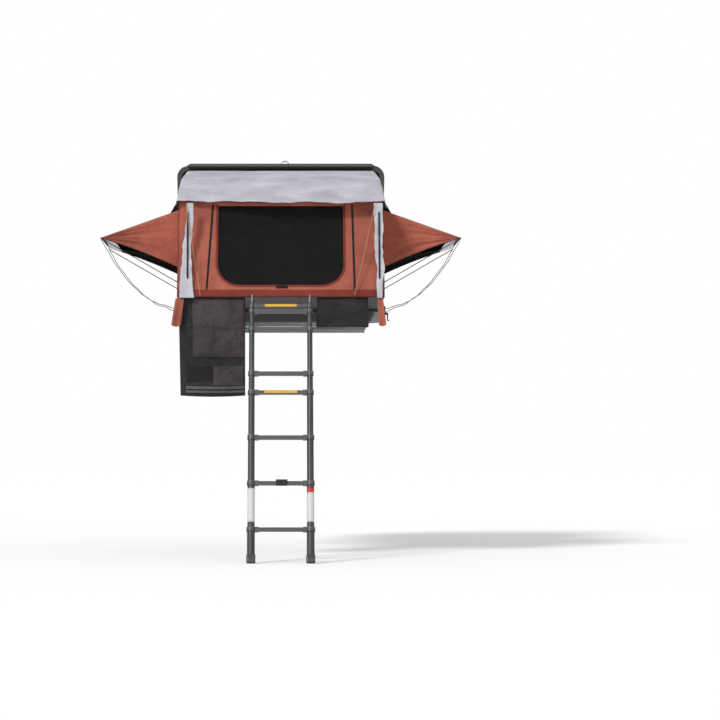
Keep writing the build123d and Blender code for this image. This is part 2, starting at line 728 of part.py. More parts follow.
def cover_sheet(points, drop):
    """A sheet along the points with its sides turned down by drop."""
    with BuildPart() as sheet:
        under = [(y, z - cloth) for y, z in reversed(points)]
        with BuildSketch(Plane.YZ.offset(-cover_half)):
            with BuildLine():
                Polyline(*points, *under, points[0])
            make_face()
        extrude(amount=2 * cover_half)
        skirt = [(y, z - drop) for y, z in reversed(points)]
        with BuildSketch(Plane.YZ.offset(cover_half - cloth)):
            with BuildLine():
                Polyline(*points, *skirt, points[0])
            make_face()
        extrude(amount=cloth)
        mirror(about=Plane.YZ)
    return sheet


def cover_at(row_y):
    return roof_at(row_y) + cover_gap + cloth


cover_edge_y = lid_edge.Y - 18
save(cover_sheet([hem, cover_front, cover_middle,
                  (fold_line_y - split_clear, cover_at(fold_line_y - split_clear))], 36), "cover_front")
save(cover_sheet([(fold_line_y + split_clear, cover_at(fold_line_y + split_clear)),
                  (cover_edge_y, cover_at(cover_edge_y))], 36), "cover_rear")


# Side straps of the cover, down to the front corners, each with a raised zip
strap_foot, strap_head = (front_edge_y - 16, 104), (hem[0] - running_gap, hem[1])
strap_rise = hypot(strap_head[0] - strap_foot[0], strap_head[1] - strap_foot[1])
strap_plane = Plane(origin=(0, *strap_foot), x_dir=(1, 0, 0),
                    z_dir=(0, -(strap_head[1] - strap_foot[1]), strap_head[0] - strap_foot[0]))
edge = floor_half_width
left_strap = [(16 - edge, 0), (116 - edge, 0), (100 - edge, 0.5), (108 - edge, 1), (66 - edge, 1),
              (45 - edge, 0.5)]
right_strap = [(edge - 52, 0), (edge - 18, 0), (edge - 6, 0.35), (edge - 10, 1), (edge - 72, 1),
               (edge - 60, 0.45)]
with BuildPart() as cover_straps:
    for outline, zip_x in ((left_strap, 72 - edge), (right_strap, edge - 36)):
        with BuildSketch(strap_plane):
            with BuildLine():
                Polyline(*[(x, share * strap_rise) for x, share in outline], close=True)
            make_face()
        extrude(amount=2.5)
        with BuildSketch(strap_plane.offset(2.5)):
            with Locations((zip_x, strap_rise * 0.55)):
                Rectangle(6, strap_rise * 0.7)
        extrude(amount=5)
save(cover_straps, "cover_straps")

# Side awnings: hollow hoods over the windows, each spread by two rods from posts on the board
awning_front, awning_back = -1320, -694
awning_wall_x = tent_half_width + running_gap
awning_low, awning_high = 337, 742
awning_tip = (floor_half_width + 545, 548)
rod_r = 3
rod_pivot_z = 240
rod_plane_step = 12
near_rod_x, far_rod_x = floor_half_width + 12, floor_half_width + 8.5
near_rod_y = awning_front - rod_r - 1 - running_gap
far_rod_y = awning_back + rod_r + 1 + running_gap


def side_awning(side):
    with BuildPart() as hood:
        with BuildSketch(Plane.XZ.offset(-awning_front)):
            with BuildLine():
                Polyline((awning_wall_x, awning_low), awning_tip, (awning_wall_x, awning_high),
                         (awning_wall_x, awning_low))
            make_face()
        extrude(amount=-(awning_back - awning_front))
        wall_side = hood.faces().sort_by(Axis.X)[0]
        under_side = [f for f in hood.faces() if f.normal_at().Z < -0.3][0]
        offset(amount=-cloth, openings=[wall_side, under_side])
        if side < 0:
            mirror(about=Plane.YZ, mode=Mode.REPLACE)
    return hood


def awning_rod(side, pivot_x, row_y, pivot_z):
    """Both rods of a side keep one slope, in planes far enough apart to fold over each other."""
    slope = atan2(awning_tip[1] - rod_pivot_z, awning_tip[0] - near_rod_x)
    reach = (awning_tip[0] - pivot_x) / cos(slope)
    direction = (side * cos(slope), 0, sin(slope))
    with BuildPart() as rod:
        with BuildSketch(Plane(origin=(side * pivot_x, row_y, pivot_z), x_dir=(0, 1, 0), z_dir=direction)):
            Circle(rod_r)
        extrude(amount=reach)
        with BuildSketch(Plane(origin=(side * pivot_x, row_y, pivot_z), x_dir=(0, 1, 0), z_dir=direction)):
            Circle(rod_r + 1)
        extrude(amount=18)
    return rod


for side, word in ((-1, "left"), (1, "right")):
    save(side_awning(side), f"awning_{word}")
    save(awning_rod(side, near_rod_x, near_rod_y, rod_pivot_z), f"awning_rod_near_{word}")
    save(awning_rod(side, far_rod_x, far_rod_y, rod_pivot_z - rod_plane_step), f"awning_rod_far_{word}")

# Posts that stand on the sides of the front board and carry the rods
with BuildPart() as rod_posts:
    for pivot_x, row_y, pivot_z in ((near_rod_x, near_rod_y, rod_pivot_z),
                                    (far_rod_x, far_rod_y, rod_pivot_z - rod_plane_step)):
        with Locations((floor_half_width, row_y, floor_underside)):
            Box(4, 16, pivot_z - floor_underside + 6, align=(Align.MIN, Align.CENTER, Align.MIN))
        with Locations((floor_half_width, row_y, pivot_z)):
            Box(pivot_x - rod_r - 1.6 - floor_half_width, 16, 12, align=(Align.MIN, Align.CENTER, Align.CENTER))
    mirror(about=Plane.YZ)
save(rod_posts, "rod_posts")


# Storage hung under the front edge: a backing sheet with pockets, and a shoe bag
organiser_y = front_edge_y + 24
bag_left = 10 - floor_half_width
bag_top = floor_underside - running_gap
with BuildPart() as organiser:
    with BuildSketch(Plane.XZ.offset(-organiser_y)):
        with BuildLine():
            Polyline((bag_left, bag_top), (bag_left + 450, bag_top), (bag_left + 454, -360),
                     (bag_left + 450, -548), (bag_left + 130, -560), (bag_left + 14, -540),
                     (bag_left + 6, -250), (bag_left, bag_top))
        make_face()
    extrude(amount=2.5)
    with BuildSketch(Plane.YZ.offset(bag_left + 94)):
        with BuildLine():
            Polyline((organiser_y - 3.3, floor_underside - 2), (organiser_y - 3.3, -296),
                     (organiser_y - 12, -292))
            Spline((organiser_y - 12, -292), (organiser_y - 24, -210), (organiser_y - 10, -118),
                   (organiser_y - 22, -60), (organiser_y - 18, 30), (organiser_y - 7, floor_underside - 2))
            Line((organiser_y - 7, floor_underside - 2), (organiser_y - 3.3, floor_underside - 2))
        make_face()
    extrude(amount=352)
    with Locations((bag_left + 345, organiser_y - 3.3, -425)):
        Box(200, 16, 130, align=(Align.CENTER, Align.MAX, Align.CENTER))
save(organiser, "organiser")

with BuildPart() as shoe_bag:
    with BuildSketch(Plane.YZ.offset(240)):
        with BuildLine():
            Polyline((front_edge_y + 30, bag_top), (front_edge_y + 30, -92),
                     (front_edge_y + 18, -94))
            Spline((front_edge_y + 18, -94), (front_edge_y - 2, -40), (front_edge_y + 4, 30),
                   (front_edge_y + 20, bag_top))
            Line((front_edge_y + 20, bag_top), (front_edge_y + 30, bag_top))
        make_face()
    extrude(amount=350)
save(shoe_bag, "shoe_bag")


# Corner flaps: tails of tent cloth that hang at the board's front corners
flap_ends = [(-8 - edge, 50 - edge, -38 - edge, 28 - edge, -79), (edge - 48, edge - 12, edge - 42, edge + 10, -76)]
with BuildPart() as corner_flaps:
    for top_left, top_right, low_left, low_right, low_z in flap_ends:
        high_z = floor_underside - 8
        with BuildSketch(Plane.XY.offset(high_z)):
            with Locations(((top_left + top_right) / 2, front_edge_y - 2.5 - running_gap)):
                RectangleRounded(top_right - top_left, 5, 2)
        with BuildSketch(Plane.XY.offset((high_z + low_z) / 2)):
            with Locations(((top_left + top_right + low_left + low_right) / 4, front_edge_y - 16)):
                RectangleRounded((top_right - top_left + low_right - low_left) / 2 - 4, 12, 2)
        with BuildSketch(Plane.XY.offset(low_z)):
            with Locations(((low_left + low_right) / 2, front_edge_y - 12)):
                RectangleRounded(low_right - low_left, 5, 2)
        loft()
save(corner_flaps, "corner_flaps")

# Ladder: eight nested sections, drawn along the leaning stile line from the hinge down
ladder_pivot_y = front_edge_y - 4
lean = radians(ladder_lean)
ladder_down = Vector(0, -cos(lean), -sin(lean))
rung_gaps = [nested_pitch, third_gap, full_pitch, fifth_gap, full_pitch, full_pitch, full_pitch]
rung_places = [first_rung + sum(rung_gaps[:k]) for k in range(8)]
travels = [gap - nested_pitch for gap in rung_gaps[1:-1]] + [full_pitch - lowest_closed_pitch]
print("rungs", rung_places, "slides", travels, "down", tuple(ladder_down))


def ladder_plane(down):
    """A plane square to the stiles, down from the hinge; its Y points under the tent."""
    start = Vector(0, ladder_pivot_y, ladder_pivot_z) + ladder_down * down
    return Plane(origin=start, x_dir=(1, 0, 0), z_dir=ladder_down * -1)


def ladder_section(index):
    outer = top_tube_r + tube_step * index
    inner = outer - tube_step + tube_slack
    rung = rung_places[index]
    top = rung - collar_height / 2 + 3 if index else -12
    bottom = rung + (lowest_tube if index == 7 else tube_length)
    collar_r = outer + collar_wall
    socket_x = stile_x - collar_r - socket_length
    with BuildPart() as section:
        with BuildSketch(ladder_plane(bottom)):
            with GridLocations(2 * stile_x, 0, 2, 1):
                Circle(outer)
                Circle(inner, mode=Mode.SUBTRACT)
        extrude(amount=bottom - top)
        if index == 0:
            with Locations((0, ladder_pivot_y, ladder_pivot_z)):
                with GridLocations(2 * stile_x, 0, 2, 1):
                    Box(9, 60, 60, rotation=(0, 0, 0), mode=Mode.SUBTRACT)
            with Locations(ladder_plane(0)):
                with GridLocations(2 * stile_x, 0, 2, 1):
                    Cylinder(4, 2 * top_tube_r, rotation=(0, 90, 0))
        with BuildSketch(ladder_plane(rung + collar_height / 2)):
            with GridLocations(2 * stile_x, 0, 2, 1):
                Circle(collar_r)
                Circle(outer, mode=Mode.SUBTRACT)
            for side in (-1, 1):
                with Locations((side * (socket_x + stile_x - outer) / 2, 0)):
                    Rectangle(stile_x - outer - socket_x - 1, rung_depth + 4)
        extrude(amount=collar_height)
        with BuildSketch(ladder_plane(rung + rung_height / 2)):
            Rectangle(2 * socket_x, rung_depth)
        extrude(amount=rung_height)
        fillet(section.edges().filter_by(Axis.X).filter_by(lambda e: e.length > 100), 4)
        with BuildSketch(ladder_plane(rung + rung_height / 2 - rung_wall)):
            Rectangle(2 * socket_x, rung_depth - 2 * rung_wall)
        extrude(amount=rung_height - 2 * rung_wall, mode=Mode.SUBTRACT)
        if index == 7:
            with BuildSketch(ladder_plane(bottom + foot_height - 9)):
                with GridLocations(2 * stile_x, 0, 2, 1):
                    RectangleRounded(60, 52, 10)
            extrude(amount=foot_height + 26)
            with BuildSketch(ladder_plane(bottom + 0.5)):
                with GridLocations(2 * stile_x, 0, 2, 1):
                    Circle(inner)
            extrude(amount=60, mode=Mode.SUBTRACT)
    return section


for index in range(8):
    save(ladder_section(index), f"ladder_section_{index + 1}")


# Yellow grip pads on the first and fifth rung
def grip_pad(rung_index, width):
    with BuildPart() as pad:
        with BuildSketch(ladder_plane(rung_places[rung_index] + 9)):
            with Locations((0, -rung_depth / 2 - 1.2)):
                Rectangle(width, 2.4)
        extrude(amount=18)
    return pad


save(grip_pad(0, 214), "grip_pad_upper")
save(grip_pad(4, 220), "grip_pad_middle")

# Strap clip round the seventh rung
with BuildPart() as strap_clip:
    with BuildSketch(ladder_plane(rung_places[6] + 22)):
        with Locations((6, -rung_depth / 2 - 5)):
            RectangleRounded(76, 9, 3)
    extrude(amount=42)
save(strap_clip, "strap_clip")

# Ladder brackets: bright straps on the board's front edge that hold the hinge
with BuildPart() as ladder_brackets:
    with BuildSketch(Plane.YZ.offset(stile_x - 4)):
        with BuildLine():
            Polyline((front_edge_y, floor_top - 8), (front_edge_y - 8, floor_top - 8),
                     (front_edge_y - 13, ladder_pivot_z), (front_edge_y + 5, ladder_pivot_z),
                     (front_edge_y + 9, floor_underside - 6), (front_edge_y + 60, floor_underside - 5),
                     (front_edge_y + 60, floor_underside), (front_edge_y, floor_underside),
                     (front_edge_y, floor_top - 8))
        make_face()
        with Locations((ladder_pivot_y, ladder_pivot_z)):
            Circle(9)
            Circle(4 + bore_gap, mode=Mode.SUBTRACT)
    extrude(amount=8)
    mirror(about=Plane.YZ)
save(ladder_brackets, "ladder_brackets")

# Cords: slack ones from the awnings to the base, and tight ones from the cover's hem to the board
cord_r = 2.5
near_route = [(1243, -1330, 541), (1214, -1286, 488), (1187, -1239, 441), (1169, -1184, 400),
              (1136, -1139, 356), (1109, -1095, 320), (1090, -1040, 292), (1063, -999, 259),
              (1035, -945, 237), (1011, -904, 212), (983, -852, 189), (955, -809, 178), (933, -756, 159),
              (907, -708, 152), (880, -661, 141), (851, -614, 141), (822, -562, 134), (794, -517, 124),
              (770.5, -470, 122)]
far_route = [(1243, -684, 541), (1210, -665, 479), (1181, -648, 424), (1139, -624, 373),
             (1107, -603, 328), (1075, -582, 287), (1037, -569, 257), (1009, -550, 222),
             (971, -528, 193), (942, -504, 177), (909, -484, 150), (871, -464, 142), (838, -445, 137),
             (809, -432, 115), (770.5, -410, 106)]
hem_left_route = [(-640, -1608, 742), (-594, -1649, 430), (-541, front_edge_y - 24, 122)]
hem_right_route = [(634, -1608, 738), (570, -1649, 430), (494, front_edge_y - 24, 122)]


def cord_tube(route):
    """Straight runs joined by arcs as large as the two runs beside each corner allow."""
    points = [Vector(*point) for point in route]
    radii = []
    for before, corner, after in zip(points, points[1:], points[2:]):
        turn = (corner - before).get_angle(after - corner)
        shorter = min((corner - before).length, (after - corner).length)
        radii.append(0.45 * shorter / tan(radians(turn / 2)))
    with BuildPart() as tube:
        with BuildLine() as path:
            FilletPolyline(*points, radius=radii)
        with BuildSketch(Plane(origin=path.line @ 0, z_dir=path.line % 0)):
            Circle(cord_r)
        sweep()
    length = path.wires()[0].length
    expected = pi * cord_r ** 2 * length
    print("cord", round(length), "mm, least radius", round(min(radii)), "volume share",
          round(tube.part.volume / expected, 4))
    return tube.part


for side, word in ((-1, "left"), (1, "right")):
    with BuildPart() as awning_cords:
        for route in (near_route, far_route):
            add(cord_tube([(side * x, y, z) for x, y, z in route]))
    save(awning_cords, f"awning_cords_{word}")

with BuildPart() as hem_cords:
    add(cord_tube(hem_left_route))
    add(cord_tube(hem_right_route))
save(hem_cords, "hem_cords")
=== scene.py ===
"""Roof top tent, standing open: cloth, cords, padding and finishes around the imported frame.

Lengths are written in millimetres in the part's frame (+X right, -Y to the ladder, +Z up) and
become metres where a mesh or a curve is made.
"""

import json
from math import cos, exp, hypot, pi, radians, sin

import bmesh
import bpy
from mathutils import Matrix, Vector, noise

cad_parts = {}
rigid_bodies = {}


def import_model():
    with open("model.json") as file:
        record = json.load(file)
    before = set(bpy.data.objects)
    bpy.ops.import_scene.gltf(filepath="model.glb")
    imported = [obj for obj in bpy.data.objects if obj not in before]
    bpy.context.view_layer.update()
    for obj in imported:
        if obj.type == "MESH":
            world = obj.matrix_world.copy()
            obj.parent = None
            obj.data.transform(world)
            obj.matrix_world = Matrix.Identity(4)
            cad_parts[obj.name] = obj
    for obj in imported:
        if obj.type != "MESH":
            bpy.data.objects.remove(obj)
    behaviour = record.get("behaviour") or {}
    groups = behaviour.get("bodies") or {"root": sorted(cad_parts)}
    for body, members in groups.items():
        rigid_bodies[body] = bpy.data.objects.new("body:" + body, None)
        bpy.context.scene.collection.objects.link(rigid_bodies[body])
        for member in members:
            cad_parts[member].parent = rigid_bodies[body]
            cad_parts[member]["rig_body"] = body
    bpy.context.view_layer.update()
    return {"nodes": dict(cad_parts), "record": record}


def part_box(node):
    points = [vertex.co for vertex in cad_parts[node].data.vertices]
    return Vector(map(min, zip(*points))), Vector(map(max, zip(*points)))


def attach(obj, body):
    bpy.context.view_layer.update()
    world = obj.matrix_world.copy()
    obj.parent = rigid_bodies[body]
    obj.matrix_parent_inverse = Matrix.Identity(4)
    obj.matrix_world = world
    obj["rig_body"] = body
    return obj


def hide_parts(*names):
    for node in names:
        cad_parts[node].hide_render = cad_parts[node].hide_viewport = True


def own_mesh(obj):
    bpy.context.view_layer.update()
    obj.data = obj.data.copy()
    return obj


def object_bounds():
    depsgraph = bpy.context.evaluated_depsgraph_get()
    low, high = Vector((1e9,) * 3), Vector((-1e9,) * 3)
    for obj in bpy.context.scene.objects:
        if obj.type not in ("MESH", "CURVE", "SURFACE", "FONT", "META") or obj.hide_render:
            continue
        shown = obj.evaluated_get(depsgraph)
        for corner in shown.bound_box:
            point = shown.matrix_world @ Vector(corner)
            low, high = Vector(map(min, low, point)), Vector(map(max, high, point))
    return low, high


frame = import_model()

METRE = 0.001
CLOTH = 1.4
SIDES = ((-1, "left"), (1, "right"))

# Outline of the tent body, front to back, in Y and Z
FOOT = (-1658.0, 135.3)
BOARD_FACE_Y, BOARD_LOW = -1661.0, 113.0
SEAM = 0.6
FRONT_CREST = (-1459.6, 795.2)
MIDDLE_CREST = (-865.4, 1017.4)
FOLD_Y = -560.0
ROOF_SLOPE = 0.2096
LID_EDGE_Y = 25.0
BACK_HIGH = (601.0, 200.0)
BACK_LOW = (572.0, 135.3)
TENT_HALF = 696.0
WALL_RISE = hypot(FRONT_CREST[0] - FOOT[0], FRONT_CREST[1] - FOOT[1])
WALL_UP = ((FRONT_CREST[0] - FOOT[0]) / WALL_RISE, (FRONT_CREST[1] - FOOT[1]) / WALL_RISE)

# Door and windows
DOOR_HALF, DOOR_LOW, DOOR_HIGH, DOOR_CORNER = 425.0, 62.0, 640.0, 150.0
NET_LAP = 7
WINDOW_FRONT, WINDOW_BACK, WINDOW_LOW, WINDOW_HIGH = -1270.0, -740.0, 350.0, 725.0

# Rain cover
COVER_HALF = 712.0
COVER_LIFT = 3.5
COVER_HEM = (-1588.0, 752.0)
COVER_DROP = 36.0
HEM_FOLDS_REACH = 190
STRAP_FOOT, STRAP_HEAD = (-1676.0, 104.0), (-1588.3, 752.0)
STRAP_RUN = 654

# Awnings
AWNING_WALL, AWNING_LOW, AWNING_HIGH = 696.3, 337.0, 742.0
AWNING_TIP = (1245.0, 548.0)
AWNING_FRONT, AWNING_BACK = -1320.0, -694.0
AWNING_SAG = 12
AWNING_LEAN = radians(25.8)

# Lid, in its own closed position about the hinge axis
LID_TILT = radians(60.5)
LID_AXIS = (0.0, 640.0, 137.0)
APRON_Y, PULL_Y = -1261, -1270

# How the soft pieces give when the tent is packed
FLOOR_FOLDS = ("floor_fold", (0, 0, 1), (0, 0, 0.19), 0.03)
BAGS_FOLD = ("floor_fold", (0, 0, 1), (0, 0, 0.108), 0.03)
LID_CLOSES = ("lid_hinge", (0, 0, 1), (0, 0, 0.185), 0.03)


def srgb(red, green, blue):
    """A colour as the eye reads it, 0 to 255, in the renderer's linear values."""
    parts = (c / 255 for c in (red, green, blue))
    return tuple(c / 12.92 if c <= 0.04045 else ((c + 0.055) / 1.055) ** 2.4 for c in parts) + (1.0,)


# ---------------------------------------------------------------- shared shader effects
def effect(name, inputs, output_kind, output_name):
    """An empty node group with named inputs and one output."""
    tree = bpy.data.node_groups.new(name, "ShaderNodeTree")
    for label, kind, value in inputs:
        socket = tree.interface.new_socket(name=label, in_out="INPUT", socket_type=kind)
        socket.default_value = value
    tree.interface.new_socket(name=output_name, in_out="OUTPUT", socket_type=output_kind)
    return tree, tree.nodes.new("NodeGroupInput"), tree.nodes.new("NodeGroupOutput")


def maths(tree, operation, first, second=None, third=None):
    node = tree.nodes.new("ShaderNodeMath")
    node.operation = operation
    for slot, value in enumerate((first, second, third)):
        if value is None:
            continue
        if isinstance(value, (int, float)):
            node.inputs[slot].default_value = value
        else:
            tree.links.new(value, node.inputs[slot])
    return node.outputs[0]


def weave_effect():
    """Raised threads crossing at right angles, on any face of the object."""
    tree, given, result = effect("Weave", [("Threads", "NodeSocketFloat", 900.0)],
                                 "NodeSocketFloat", "Height")
    place = tree.nodes.new("ShaderNodeTexCoord")
    split = tree.nodes.new("ShaderNodeSeparateXYZ")
    tree.links.new(place.outputs["Object"], split.inputs[0])
    waves = []
    for axis in range(3):
        turn = maths(tree, "MULTIPLY", split.outputs[axis], given.outputs["Threads"])
        waves.append(maths(tree, "SINE", turn))
    total = maths(tree, "ADD", maths(tree, "ADD", waves[0], waves[1]), waves[2])
    tree.links.new(total, result.inputs["Height"])
    return tree


def noise_field(tree, scale, detail, roughness, stretch=(1, 1, 1)):
    place = tree.nodes.new("ShaderNodeTexCoord")
    mapping = tree.nodes.new("ShaderNodeMapping")
    mapping.inputs["Scale"].default_value = stretch
    field = tree.nodes.new("ShaderNodeTexNoise")
    field.inputs["Detail"].default_value = detail
    field.inputs["Roughness"].default_value = roughness
    tree.links.new(place.outputs["Object"], mapping.inputs["Vector"])
    tree.links.new(mapping.outputs["Vector"], field.inputs["Vector"])
    if isinstance(scale, (int, float)):
        field.inputs["Scale"].default_value = scale
    else:
        tree.links.new(scale, field.inputs["Scale"])
    return field.outputs["Fac"]


def crease_effect():
    """Sharp little creases, as coated cloth keeps after it was packed."""
    tree, given, result = effect("Creases", [("Scale", "NodeSocketFloat", 9.0)], "NodeSocketFloat", "Height")
    field = noise_field(tree, given.outputs["Scale"], 5.0, 0.55)
    ridge = maths(tree, "ABSOLUTE", maths(tree, "SUBTRACT", field, 0.5))
    tree.links.new(maths(tree, "POWER", ridge, 0.6), result.inputs["Height"])
    return tree


def tone_and_light_patch_effect():
    """Two tones of one colour in soft patches; on the terracotta they are painted shade and painted light."""
    tree, given, result = effect(
        "Tone and painted light patches",
        [("Deep", "NodeSocketColor", (0, 0, 0, 1)), ("Faded", "NodeSocketColor", (1, 1, 1, 1)),
         ("Scale", "NodeSocketFloat", 4.0)],
        "NodeSocketColor", "Color")
    field = noise_field(tree, given.outputs["Scale"], 6.0, 0.6)
    ramp = tree.nodes.new("ShaderNodeMapRange")
    ramp.inputs["From Min"].default_value, ramp.inputs["From Max"].default_value = 0.32, 0.68
    tree.links.new(field, ramp.inputs["Value"])
    mix = tree.nodes.new("ShaderNodeMix")
    mix.data_type = "RGBA"
    tree.links.new(ramp.outputs["Result"], mix.inputs["Factor"])
    tree.links.new(given.outputs["Deep"], mix.inputs["A"])
    tree.links.new(given.outputs["Faded"], mix.inputs["B"])
    tree.links.new(mix.outputs["Result"], result.inputs["Color"])
    return tree


def wear_effect():
    """A mask of the outer edges, broken up by noise, where a finish rubs thin."""
    tree, given, result = effect("Edge wear", [("Amount", "NodeSocketFloat", 0.5)], "NodeSocketFloat", "Mask")
    shape = tree.nodes.new("ShaderNodeNewGeometry")
    edge = tree.nodes.new("ShaderNodeMapRange")
    edge.inputs["From Min"].default_value, edge.inputs["From Max"].default_value = 0.52, 0.62
    tree.links.new(shape.outputs["Pointiness"], edge.inputs["Value"])
    patch = maths(tree, "MULTIPLY", edge.outputs["Result"], noise_field(tree, 60.0, 4.0, 0.7))
    tree.links.new(maths(tree, "MULTIPLY", patch, given.outputs["Amount"]), result.inputs["Mask"])
    return tree


def grain_effect():
    """The fine pebble of a moulded or powder coated skin."""
    tree, given, result = effect("Grain", [("Scale", "NodeSocketFloat", 700.0)], "NodeSocketFloat", "Height")
    tree.links.new(noise_field(tree, given.outputs["Scale"], 2.0, 0.5), result.inputs["Height"])
    return tree


WEAVE, CREASES, TONE_AND_LIGHT_PATCHES = weave_effect(), crease_effect(), tone_and_light_patch_effect()
EDGE_WEAR, GRAIN = wear_effect(), grain_effect()


def blank_material(name):
    made = bpy.data.materials.new(name)
    made.use_nodes = True
    return made, made.node_tree, made.node_tree.nodes["Principled BSDF"]


def use(tree, group, **values):
    node = tree.nodes.new("ShaderNodeGroup")
    node.node_tree = group
    for label, value in values.items():
        node.inputs[label.replace("_", " ")].default_value = value
    return node


def bump(tree, shader, layers):
    """Heights laid over each other, each as (output, depth in metres)."""
    below = None
    for height, depth in layers:
        node = tree.nodes.new("ShaderNodeBump")
        node.inputs["Distance"].default_value = depth
        tree.links.new(height, node.inputs["Height"])
        if below:
            tree.links.new(below, node.inputs["Normal"])
        below = node.outputs["Normal"]
    tree.links.new(below, shader.inputs["Normal"])


def cloth_finish(name, deep, paler, roughness=0.85, threads=1400.0, crease_scale=9.0, crease_depth=0.004,
                 thread_depth=0.0003, sheen=0.15, alpha=1.0, patch_scale=4.0):
    made, tree, shader = blank_material(name)
    colour = use(tree, TONE_AND_LIGHT_PATCHES, Deep=deep, Faded=paler, Scale=patch_scale)
    tree.links.new(colour.outputs["Color"], shader.inputs["Base Color"])
    shader.inputs["Roughness"].default_value = roughness
    shader.inputs["Sheen Weight"].default_value = sheen
    shader.inputs["Specular IOR Level"].default_value = 0.25
    shader.inputs["Alpha"].default_value = alpha
    bump(tree, shader, [(use(tree, CREASES, Scale=crease_scale).outputs["Height"], crease_depth),
                        (use(tree, WEAVE, Threads=threads).outputs["Height"], thread_depth)])
    return made


def hard_finish(name, colour, worn, roughness, metallic=0.0, wear=0.4, grain=700.0, grain_depth=0.0002,
                coat=0.0):
    made, tree, shader = blank_material(name)
    mask = use(tree, EDGE_WEAR, Amount=wear)
    mix = tree.nodes.new("ShaderNodeMix")
    mix.data_type = "RGBA"
    tone = use(tree, TONE_AND_LIGHT_PATCHES, Deep=tuple(c * 0.85 for c in colour[:3]) + (1,), Faded=colour, Scale=7.0)
    tree.links.new(mask.outputs["Mask"], mix.inputs["Factor"])
    tree.links.new(tone.outputs["Color"], mix.inputs["A"])
    mix.inputs["B"].default_value = worn
    tree.links.new(mix.outputs["Result"], shader.inputs["Base Color"])
    scuffs = tree.nodes.new("ShaderNodeMapRange")
    scuffs.inputs["To Min"].default_value = roughness - 0.08
    scuffs.inputs["To Max"].default_value = roughness + 0.08
    rubbed = use(tree, GRAIN, Scale=22.0)
    tree.links.new(rubbed.outputs["Height"], scuffs.inputs["Value"])
    tree.links.new(scuffs.outputs["Result"], shader.inputs["Roughness"])
    shader.inputs["Metallic"].default_value = metallic
    shader.inputs["Coat Weight"].default_value = coat
    bump(tree, shader, [(use(tree, GRAIN, Scale=grain).outputs["Height"], grain_depth)])
    return made


# The canvas's two tones are a shaded and a lit copy of its colour, so its patches are painted shade and
# painted light.
TERRACOTTA = cloth_finish("Terracotta canvas", srgb(138, 72, 58), srgb(178, 97, 78),
                          crease_scale=6.0, crease_depth=0.012)
TERRACOTTA_HEM = cloth_finish("Dark red hem tape", srgb(104, 38, 30), srgb(128, 50, 38), threads=900.0)
PALE_COVER = cloth_finish("Pale grey coated cloth", srgb(168, 167, 178), srgb(205, 204, 212), roughness=0.6,
                          crease_scale=4.0, crease_depth=0.02)
# Near black, for the inside faces of the tent's walls and of the awnings.
NEAR_BLACK_INSIDE = cloth_finish("Near black inside face", srgb(13, 12, 13), srgb(22, 20, 20), sheen=0.0)
BLACK_CLOTH = cloth_finish("Black gusset cloth", srgb(16, 15, 16), srgb(28, 26, 26), sheen=0.02)
# The nylon's darker tone is the shade of its folds, painted in patches over the cloth's own colour.
BAG_CLOTH = cloth_finish("Grey brown nylon", srgb(32, 28, 30), srgb(70, 61, 65), roughness=0.42,
                         crease_scale=7.0, crease_depth=0.022, sheen=0.1)
DARK_BAG = cloth_finish("Dark bag nylon", srgb(17, 16, 18), srgb(38, 35, 36), roughness=0.45,
                        crease_scale=8.0, crease_depth=0.018, sheen=0.05)
WEBBING = cloth_finish("Woven webbing", srgb(70, 68, 72), srgb(96, 94, 98), threads=2600.0,
                       crease_depth=0.001)
ZIP_TAPE = cloth_finish("Zip tape", srgb(16, 15, 16), srgb(28, 26, 27), threads=3000.0, crease_depth=0.001)
INSECT_NET = cloth_finish("Black insect net", srgb(5, 4, 5), srgb(15, 12, 14), roughness=0.5, threads=3600.0,
                          crease_scale=4.0, crease_depth=0.012, sheen=0.0, alpha=0.9)
MATTRESS_CLOTH = cloth_finish("Mattress cover", srgb(112, 113, 118), srgb(138, 140, 146), patch_scale=9.0)
QUILT = cloth_finish("Quilted dark lining", srgb(24, 23, 26), srgb(38, 36, 40), sheen=0.3)
GOLD_CORD = cloth_finish("Tan elastic cord", srgb(150, 118, 66), srgb(196, 162, 100), threads=4200.0,
                         crease_depth=0.0003, patch_scale=60.0)
GREY_CORD = cloth_finish("Olive grey braid", srgb(84, 84, 72), srgb(132, 130, 112), threads=4200.0,
                         crease_depth=0.0003, patch_scale=60.0)
LABEL = hard_finish("Plain pale label", srgb(206, 204, 206), srgb(160, 158, 160), 0.5, wear=0.5, grain=300.0)
LABEL_RED = hard_finish("Plain red label band", srgb(190, 34, 44), srgb(120, 60, 60), 0.5, wear=0.3)
BLACK_SHELL = hard_finish("Textured black moulding", srgb(20, 20, 22), srgb(70, 70, 74), 0.5, wear=0.5)
RIM_METAL = hard_finish("Satin dark rim", srgb(34, 34, 37), srgb(160, 160, 165), 0.25, coat=0.8)
RAIL_METAL = hard_finish("Anodised rail", srgb(168, 170, 174), srgb(214, 214, 216), 0.35, metallic=1.0)
BRIGHT_METAL = hard_finish("Bright steel", srgb(196, 198, 202), srgb(232, 232, 234), 0.22, metallic=1.0)
COATED_METAL = hard_finish("Dark coated metal", srgb(30, 31, 33), srgb(110, 110, 114), 0.45, metallic=0.3)
BOARD_FACE = hard_finish("Black coated board", srgb(18, 18, 19), srgb(70, 68, 66), 0.55, grain=240.0)
LADDER_METAL = hard_finish("Grey coated tube", srgb(66, 65, 66), srgb(140, 141, 143), 0.45, metallic=0.35)
RUBBER = hard_finish("Matte rubber", srgb(20, 20, 21), srgb(60, 60, 60), 0.85, wear=0.3)
YELLOW_GRIP = hard_finish("Yellow grip", srgb(206, 156, 34), srgb(230, 196, 96), 0.6, grain=420.0,
                          grain_depth=0.0006)

# The camera looks along the undersides, where a usual reflection would turn black boards pale.
BOARD_FACE.node_tree.nodes["Principled BSDF"].inputs["Specular IOR Level"].default_value = 0.06

